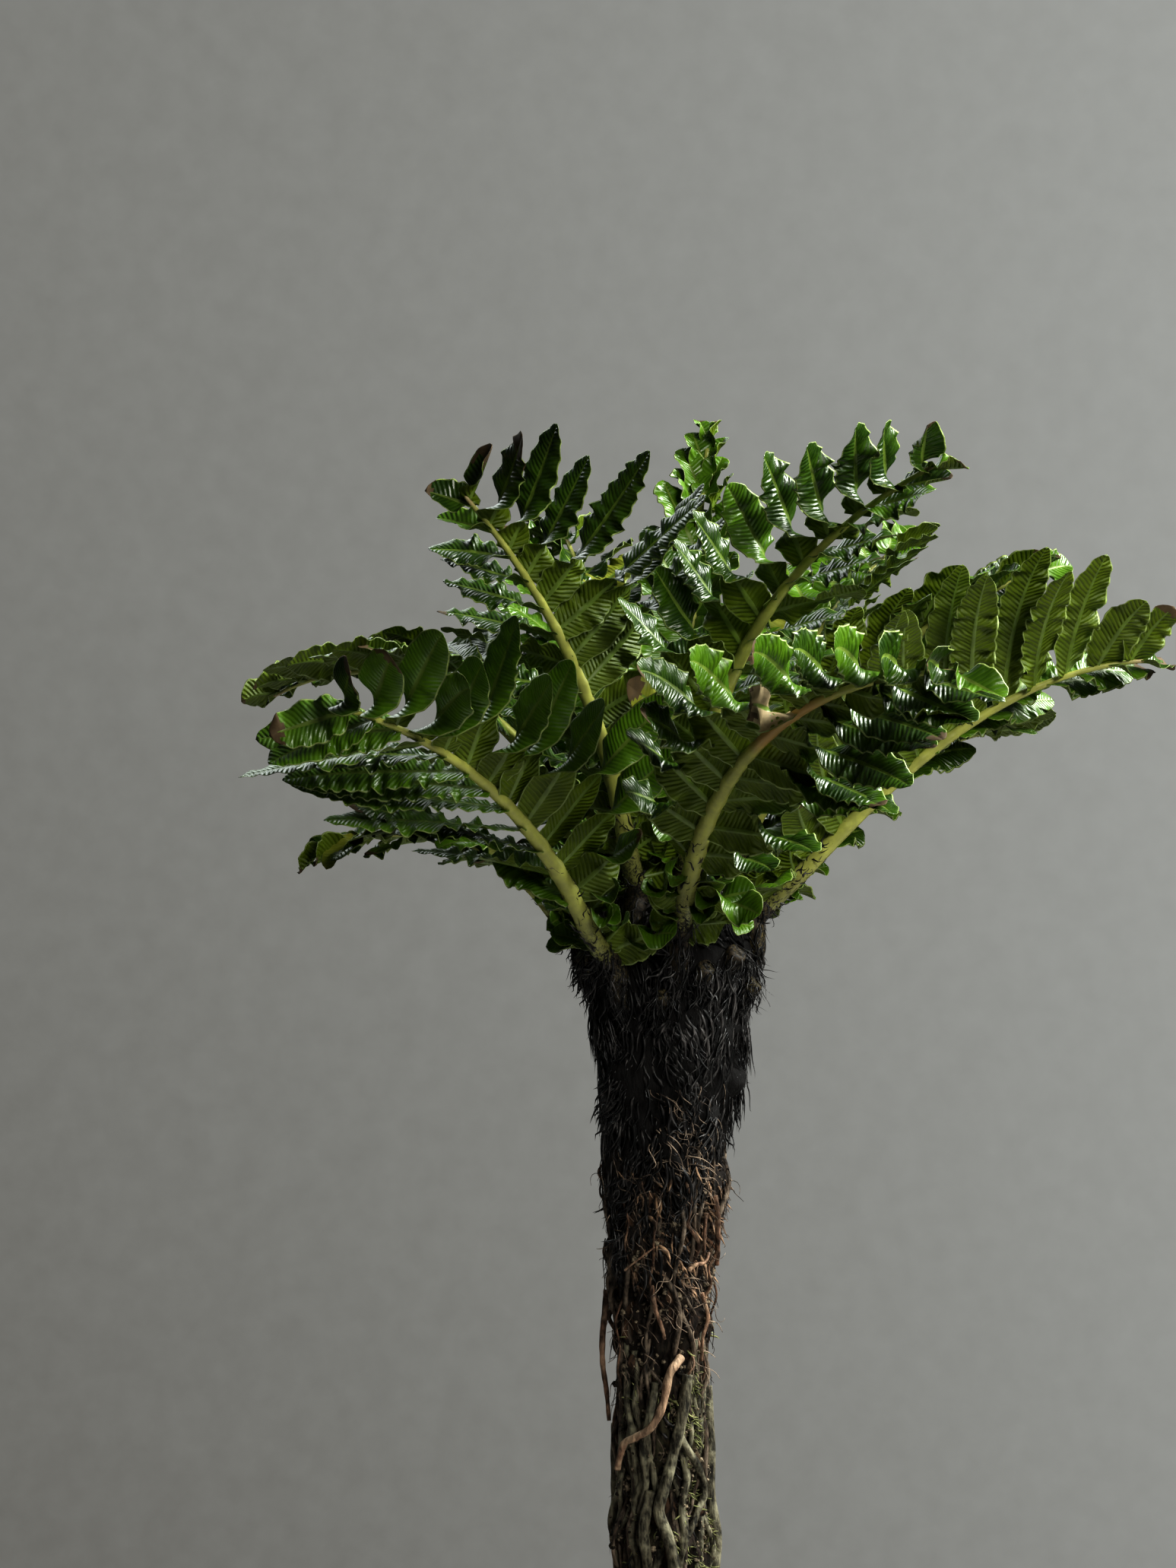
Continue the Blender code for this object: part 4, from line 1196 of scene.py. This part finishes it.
belongs(link_piece(base_mesh, base_skin))
base_points = point_values(base_mesh, "co")
base_stray = np.random.default_rng(5).normal(size=base_points.shape)
base_flow = np.array((0.0, 0.0, -1.0)) + 0.25 * base_stray
grow("base_scales", "bark", (base_mesh, base_flow, point_values(base_mesh, "normal")),
     1.0 - step_up(base_points[:, 2], 0.270, 0.296) * 0.9, scale_forms, hair, Density=500000.0,
     Smallest=0.003, Largest=0.008, Spread=0.35, Lift=0.06, Seed=12)


# ------------------------------------------------------------------ leaflets
# The leaflets stand along the rib like slats, leathery, with a pale midrib and a thin pale edge.
# Above they are dark and glossy, below dull olive with close slanting veins, and their edges are
# crisped into waves. The lowest are short and cupped. A few have dried at the tip.

LEAFLET_LENGTH = 0.048
LEAFLET_HALF_WIDTH = 0.0051
RUFFLE_OUT = 1.14           # how much wider the crisped edge makes a blade
LEAFLET_STEPS = 10
LEAFLET_TURN = 14
TURN_START = 0.22           # where a leaflet halfway along the rib starts to turn over
TURN_SPAN = 0.36
TURN_DELAY = 0.5            # how much later that is on the leaflets nearer the rib's foot
STRAYS = (0.12, 11, 8, 24, 14)      # in length, lift, angle, twist and sag
STRAY_SEED = 299
TRIES = ((1.0, 0), (1.0, 14), (1.0, -14), (0.8, 0), (0.8, 14), (0.6, 0), (0.6, -14), (0.42, 0))
TOUCH = 0.00005             # how near a point of the solid frond counts as the same one
ROW = 0.00070               # length of one row of a blade's faces
BLADE_COLUMNS = (1.0, 0.93, 0.70, 0.40)     # where they lie across a half blade, beside its midrib
BLADE_HALF = 0.00013
KEEL = 0.00042
SLIM = 0.36                 # the most that half a blade's width is against its length
LONG = 0.037                # leaflets from this length on are widest nearer their foot
SHORT = 0.018               # leaflets below this length are round and cupped
SHORT_HALF_WIDTH = 0.0044
SHORT_SLIM = 0.43
CUP = 0.0022
CROWNED = 0.0004
CRISP_WAVE = 0.0043         # from one wave of the edge to the next
CRISP_RISE = 0.0017
SCALLOP = 0.050
UV_SPAN = 0.05              # metres that the blade's map spans each way
VEIN_GAP = 0.0012
DEEP, FRESH_AND_GLOW, YELLOWED, UNDER, EDGE, MIDRIB, DRY, WITHERED = range(8)


def length_share(share):
    """How long the leaflets are along the rib, against the longest."""
    fall = 1.0 - 0.72 * max(0.0, (share - 0.45) / 0.55) ** 1.6
    return (0.2 + 0.8 * step_up(share, 0.10, 0.38)) * fall


def leaflet_line(frames, frond, side, share, stray, factor=1.0, lift=0):
    """Points along a leaflet's midrib with the way across the blade and its normal there, and
    the leaflet's length."""
    foot_lift, tip_lift, foot_fan, tip_fan, sag, scale, foot_twist, tip_twist = frond["sides"][side]
    point, along, left, up = frame_at(frames, share)
    along, out, up = unit(along), unit(left) * side, unit(up)
    length = LEAFLET_LENGTH * scale * length_share(share) * factor * (1.0 + stray[0])
    raised = foot_lift + (tip_lift - foot_lift) * share + stray[1] + lift
    fan = foot_fan + (tip_fan - foot_fan) * share + stray[2]
    line = []
    for k in range(LEAFLET_STEPS + 1):
        part = k / LEAFLET_STEPS
        rise = math.radians(raised - (sag + stray[4]) * part * part)
        spread = math.radians(fan - LEAFLET_TURN * part)
        start = TURN_START + TURN_DELAY * (0.5 - share)
        turned = step_up(part, start, start + TURN_SPAN)
        twist = math.radians(foot_twist + (tip_twist - foot_twist) * turned + stray[3])
        direction = math.cos(spread) * along + math.sin(spread) * (
            math.cos(rise) * out + math.sin(rise) * up)
        face = unit(math.cos(rise) * up - math.sin(rise) * out)
        across = unit(np.cross(direction, face)) * side
        width_way = math.cos(twist) * across + math.sin(twist) * face
        line.append((point, width_way, unit(np.cross(width_way, direction))))
        point = point + direction * (length / LEAFLET_STEPS)
    return line, length


def grown_line(corners, *leaflet):
    """The leaflet as it stands on the solid frond, or None where it was left out there. Its tip
    shows how it stands, or its widest place where the tip was cut off."""
    tried = []
    for attempt in TRIES:
        line, length = leaflet_line(*leaflet, *attempt)
        if corners.find(line[-1][0])[2] < TOUCH:
            return line, length
        tried.append((line, length))
    for line, length in tried:
        point, width_way, _ = line[round((0.3 if length >= LONG else 0.5) * LEAFLET_STEPS)]
        half = min(LEAFLET_HALF_WIDTH, SLIM * length)
        if any(corners.find(point + width_way * half * s)[2] < TOUCH for s in (-1, 1)):
            return line, length
    return None


def blade(line, length, side, crisp, draw):
    """One leaflet as a closed thin blade: points, faces, map, rows and columns."""
    rows = max(12, int(round(length / ROW)))
    part = np.linspace(0.0, 1.0, rows + 1)
    knots = np.linspace(0.0, 1.0, len(line))
    spine, wide_way, normal = (np.stack([np.interp(part, knots, [entry[i][axis] for entry in line])
                                         for axis in range(3)], axis=-1) for i in range(3))
    normal = (normal * side)[:, None, :]
    short = length < SHORT
    half = min(LEAFLET_HALF_WIDTH * RUFFLE_OUT, SLIM * length)
    if short:
        half = min(SHORT_HALF_WIDTH, SHORT_SLIM * length)
    outline = 0.62 + 0.38 * step_up(part, 0.0, 0.18)
    outline = outline * (1 - np.clip((part - 0.50) / 0.50, 0, 1) ** 2.6) ** 0.62
    right = [np.full_like(part, place) for place in BLADE_COLUMNS] + [0.13 * (1 - 0.62 * part)]
    stops = np.stack([-place for place in right] + [np.zeros_like(part)] + right[::-1], axis=-1)
    columns = stops.shape[1]
    middle_column = columns // 2

    def each_side(left, right):
        return np.where(stops < 0, left[:, None], right[:, None])

    wave = CRISP_WAVE * draw.uniform(0.85, 1.25) * (1.7 if crisp < 0.7 else 1.0)
    turns = part * length / wave * math.tau
    phase = draw.uniform(0, math.tau, 2)
    drift = draw.uniform(0.8, 2.2) * np.sin(part * draw.uniform(3, 8) + draw.uniform(0, 6))
    slow = 0.45 * np.sin(0.62 * turns + 2 * phase[0])
    sway = each_side(0.8 * np.sin(turns + phase[0] + drift) + slow,
                     0.8 * np.sin(turns + phase[1] - drift) - slow)
    fine = each_side(np.sin(2.3 * turns + phase[1]), np.sin(2.1 * turns + phase[0]))
    strength = (0.62 + 0.38 * np.sin(0.29 * turns + 3 * phase[0]))[:, None]
    fade = (np.sin(np.pi * np.clip(part * 0.90 + 0.06, 0, 1)) ** 0.5 * outline)[:, None]
    rise = CRISP_RISE * crisp * (0.55 if short else 1.0)
    lift = rise * np.abs(stops) ** 1.05 * fade * strength * (sway + 0.22 * fine)
    lift = lift + CROWNED * fade * (1 - (2 * np.abs(stops) - 1) ** 2)
    if short:
        lift = lift + CUP * stops ** 2 * fade
    bite = each_side(np.sin(turns + phase[0] + drift + 1.2), np.sin(turns + phase[1] - drift + 1.2))
    scallop = 1.0 + SCALLOP * crisp * bite * np.abs(stops)
    reach = stops * scallop * (half * outline)[:, None]
    middle = spine[:, None, :] + wide_way[:, None, :] * reach[..., None] + normal * lift[..., None]
    thick = BLADE_HALF * (1 - np.abs(stops) ** 6) * np.clip(outline * 1.6, 0, 1)[:, None]
    keel = np.zeros_like(stops)
    keel[:, middle_column] = KEEL * (1 - 0.75 * part)
    upper = middle + normal * (thick - 0.4 * keel)[..., None]
    lower = middle - normal * (thick + keel)[..., None]
    map_along = np.broadcast_to((part * length / UV_SPAN)[:, None], reach.shape)
    chart = np.stack([map_along, 0.5 + reach / UV_SPAN], axis=-1)

    # The upper side's grid comes first, then the inner columns of the lower side's: the two
    # share the points of the edge, and the last row is a single point.
    grids = ((upper, lower, middle, 3), (chart, chart, chart, 2))
    points, chart = (np.concatenate([top[:-1].reshape(-1, size), low[:-1, 1:-1].reshape(-1, size),
                                     end[-1:, middle_column]]) for top, low, end, size in grids)
    top_id = np.arange(rows * columns).reshape(rows, columns)
    low_id = top_id.copy()
    low_id[:, 1:-1] = rows * columns + np.arange(rows * (columns - 2)).reshape(rows, columns - 2)

    def cells(ids, turned_over):
        quads = np.stack([ids[:-1, :-1], ids[:-1, 1:], ids[1:, 1:], ids[1:, :-1]], axis=-1)
        quads = quads.reshape(-1, 4)
        tip = np.stack([ids[-1, :-1], ids[-1, 1:], np.full(columns - 1, len(points) - 1)], axis=-1)
        return [quads[:, ::-1], tip[:, ::-1]] if turned_over else [quads, tip]

    cap = np.stack([top_id[0, :-1], top_id[0, 1:], low_id[0, 1:], low_id[0, :-1]], axis=-1)
    cap = cap[:, ::-1] if side < 0 else cap
    cap_ends = np.array([list(dict.fromkeys(cap[i])) for i in (0, -1)])
    faces = cells(top_id, side > 0) + cells(low_id, side < 0) + [cap[1:-1], cap_ends]
    return points, faces, chart, rows, columns


def blade_uses(rows, columns, upper, dried, draw):
    """Which finish each face of a blade has."""
    sides = []
    for finish in (upper, UNDER):
        across = np.full(columns - 1, finish)
        across[[0, -1]] = EDGE
        across[[columns // 2 - 1, columns // 2]] = MIDRIB
        sides.append(np.tile(across, (rows, 1)))
    if dried > 0:
        for column in range(columns - 1):
            first = max(0, int(rows * (1 - dried * draw.uniform(0.5, 1.2))))
            for uses in sides:
                uses[min(first, rows - 1):, column] = DRY
    top, low = sides
    return [top[:-1].ravel(), top[-1], low[:-1].ravel(), low[-1],
            np.full(columns - 3, MIDRIB), np.full(2, MIDRIB)]


def leaflet(found, side, crisp, upper, dried, draw):
    """A leaflet that stands along its line: points and faces, uses, and map."""
    points, faces, chart, rows, columns = blade(*found, side, crisp, draw)
    return (points, faces), blade_uses(rows, columns, upper, dried, draw), chart


def leaf_skin(name, dark, light, vein, roughness, specular, vein_rise, vein_show):
    """Leaf skin: slanting veins that follow the blade's map, and soft mottling."""
    finish = Surface(name, light, roughness, specular)
    chart = finish.node("ShaderNodeUVMap", {"uv_map": "blade"})
    slant = finish.part(chart, "X") - abs(finish.part(chart, "Y") - 0.5) * 0.55
    slant = slant + finish.cloud(0.006, 2.0) * 0.022
    veins = (slant * (math.tau * UV_SPAN / VEIN_GAP)).sine() * 0.5 + 0.5
    mottled = finish.mixed(finish.cloud(0.006).between(0.3, 0.7), dark, light)
    lines = veins.between(0.72, 1.0) * finish.cloud(0.009, 2.0).between(0.2, 0.6) * vein_show
    finish.paint(finish.mixed(lines, mottled, vein))
    finish.dull(finish.cloud(0.003, 2.0) * 0.14 + (roughness - 0.07))
    finish.emboss(vein_rise, 0.0003, veins + finish.cloud(0.0020) * 1.2)
    return finish


LEAF_SKINS = {      # dark, light, vein, roughness, specular, how the veins rise and show
    "leaf_deep": ((0.011, 0.038, 0.001), (0.042, 0.100, 0.002), (0.070, 0.144, 0.008),
                  0.31, 0.60, 0.50, 0.35),
    # The lighter green is partly young leaflets' own colour and partly painted glow of light
    # shining through the leaflets.
    "leaf_fresh": ((0.050, 0.124, 0.002), (0.096, 0.208, 0.005), (0.135, 0.258, 0.015),
                   0.34, 0.60, 0.45, 0.35),
    "leaf_yellowed": ((0.16, 0.20, 0.015), (0.30, 0.31, 0.035), (0.34, 0.34, 0.07),
                      0.5, 0.4, 0.25, 0.4),
    "leaf_under": ((0.064, 0.104, 0.001), (0.112, 0.168, 0.004), (0.200, 0.255, 0.028),
                   0.48, 0.28, 0.75, 0.45),
}
LEAF_PLAIN = {      # colour, roughness
    "leaf_edge": ((0.300, 0.390, 0.110), 0.45), "leaf_midrib": ((0.180, 0.270, 0.040), 0.42),
    "leaf_dry": ((0.120, 0.078, 0.034), 0.75), "leaf_withered": ((0.46, 0.36, 0.20), 0.8),
}
leaf_finishes = [leaf_skin(name, *looks) for name, looks in LEAF_SKINS.items()]
for name, (colour, roughness) in LEAF_PLAIN.items():
    finish = two_toned(name, tuple(c * 0.62 for c in colour), colour, roughness, 0.45,
                       0.003, 3.0, 0.3, 0.7)
    finish.emboss(0.3, 0.0002, finish.cloud(0.0012))
    leaf_finishes.append(finish)

FOOT_LEAFLETS = (0.018, 0.038, 0.058, 0.080, 0.104)     # where small cupped ones stand on the rib
FOOT_STRAYS = (0.35, 32, 30, 35, 25)
FOOT_SIZES = (1.0, 1.3, 1.7)
# How many of each frond's leaflets take the lighter green: partly their own fresh colour, partly
# painted glow of light shining through, so the back fronds nine and ten have the most.
FRESH_AND_GLOW_SHARES = (0.75, 0.35, 0.25, 0.35, 0.40, 0.45, 0.30, 0.4, 0.9, 0.8, 0.5, 0.3, 0.6, 0.4, 0.5)
SMOOTH_EDGED = {(1, 1): 0.45, (3, 1): 0.8}      # how crisp the left sides of these fronds are
DEAD = {(2, -1): (0.60, 0.68), (4, -1): (0.22, 0.30)}    # where a leaflet on these sides is dead
SHRUNK = 0.55               # how much of its length a withered leaflet keeps
TATTERED = (1, 3, 5)        # fronds whose last leaflets have dried up
LAST_LEAFLETS = 0.90
YELLOWED_ODDS = 0.015
DRIED_ODDS = 0.16
LEAF_SEED = 900

for number, (frames, frond, fresh_and_glow_share) in enumerate(zip(frond_frames, FRONDS, FRESH_AND_GLOW_SHARES), 1):
    solid = frame["nodes"][f"frond_{number:02d}"].data
    corners = KDTree(len(solid.vertices))
    for corner in solid.vertices:
        corners.insert(corner.co, corner.index)
    corners.balance()
    draw = np.random.default_rng(LEAF_SEED + number)
    strays = np.random.default_rng(STRAY_SEED + number).uniform(-1.0, 1.0, (2 * PAIRS, 5)) * STRAYS
    grown = []
    for (side, share), stray in zip(leaflet_places(), strays):
        crisp = SMOOTH_EDGED.get((number, side), 1.0) * draw.uniform(0.8, 1.15)
        # The lighter finish is partly fresh colour and partly painted glow of light shining
        # through.
        upper = FRESH_AND_GLOW if draw.random() < fresh_and_glow_share else DEEP
        if draw.random() < YELLOWED_ODDS:
            upper = YELLOWED
        last = share > LAST_LEAFLETS
        dried = draw.uniform(0.03, 0.12) if draw.random() < DRIED_ODDS + 0.3 * last else 0.0
        if last and number in TATTERED:
            dried = draw.uniform(0.12, 0.35)
        own = np.random.default_rng(int(draw.integers(1 << 30)))
        found = grown_line(corners, frames, frond, side, share, stray)
        if found is None:
            continue
        low, high = DEAD.get((number, side), (1, 1))
        if low < share < high:
            upper, dried = YELLOWED if number == 4 else WITHERED, 0.18
        if upper == WITHERED:
            line, length = found
            foot_point = line[0][0]
            line = [(foot_point + SHRUNK * (point - foot_point), *ways) for point, *ways in line]
            found, crisp = (line, length * SHRUNK), 1.8
        grown.append(leaflet(found, side, crisp, upper, dried, own))
    for share in FOOT_LEAFLETS:
        for side in (1, -1):
            stray = draw.uniform(-1, 1, 5) * FOOT_STRAYS
            size = draw.choice(FOOT_SIZES)
            found = leaflet_line(frames, frond, side, share + draw.uniform(0, 0.014), stray, size)
            grown.append(leaflet(found, side, 0.9, FRESH_AND_GLOW, 0.0, draw))
    bodies, uses, charts = zip(*grown)
    leaf_mesh = mesh_of(f"leaflets_{number:02d}", *joined(bodies), sum(uses, []),
                        np.concatenate(charts))
    belongs(link_piece(leaf_mesh, *leaf_finishes), f"frond_{number:02d}")

bpy.context.view_layer.update()
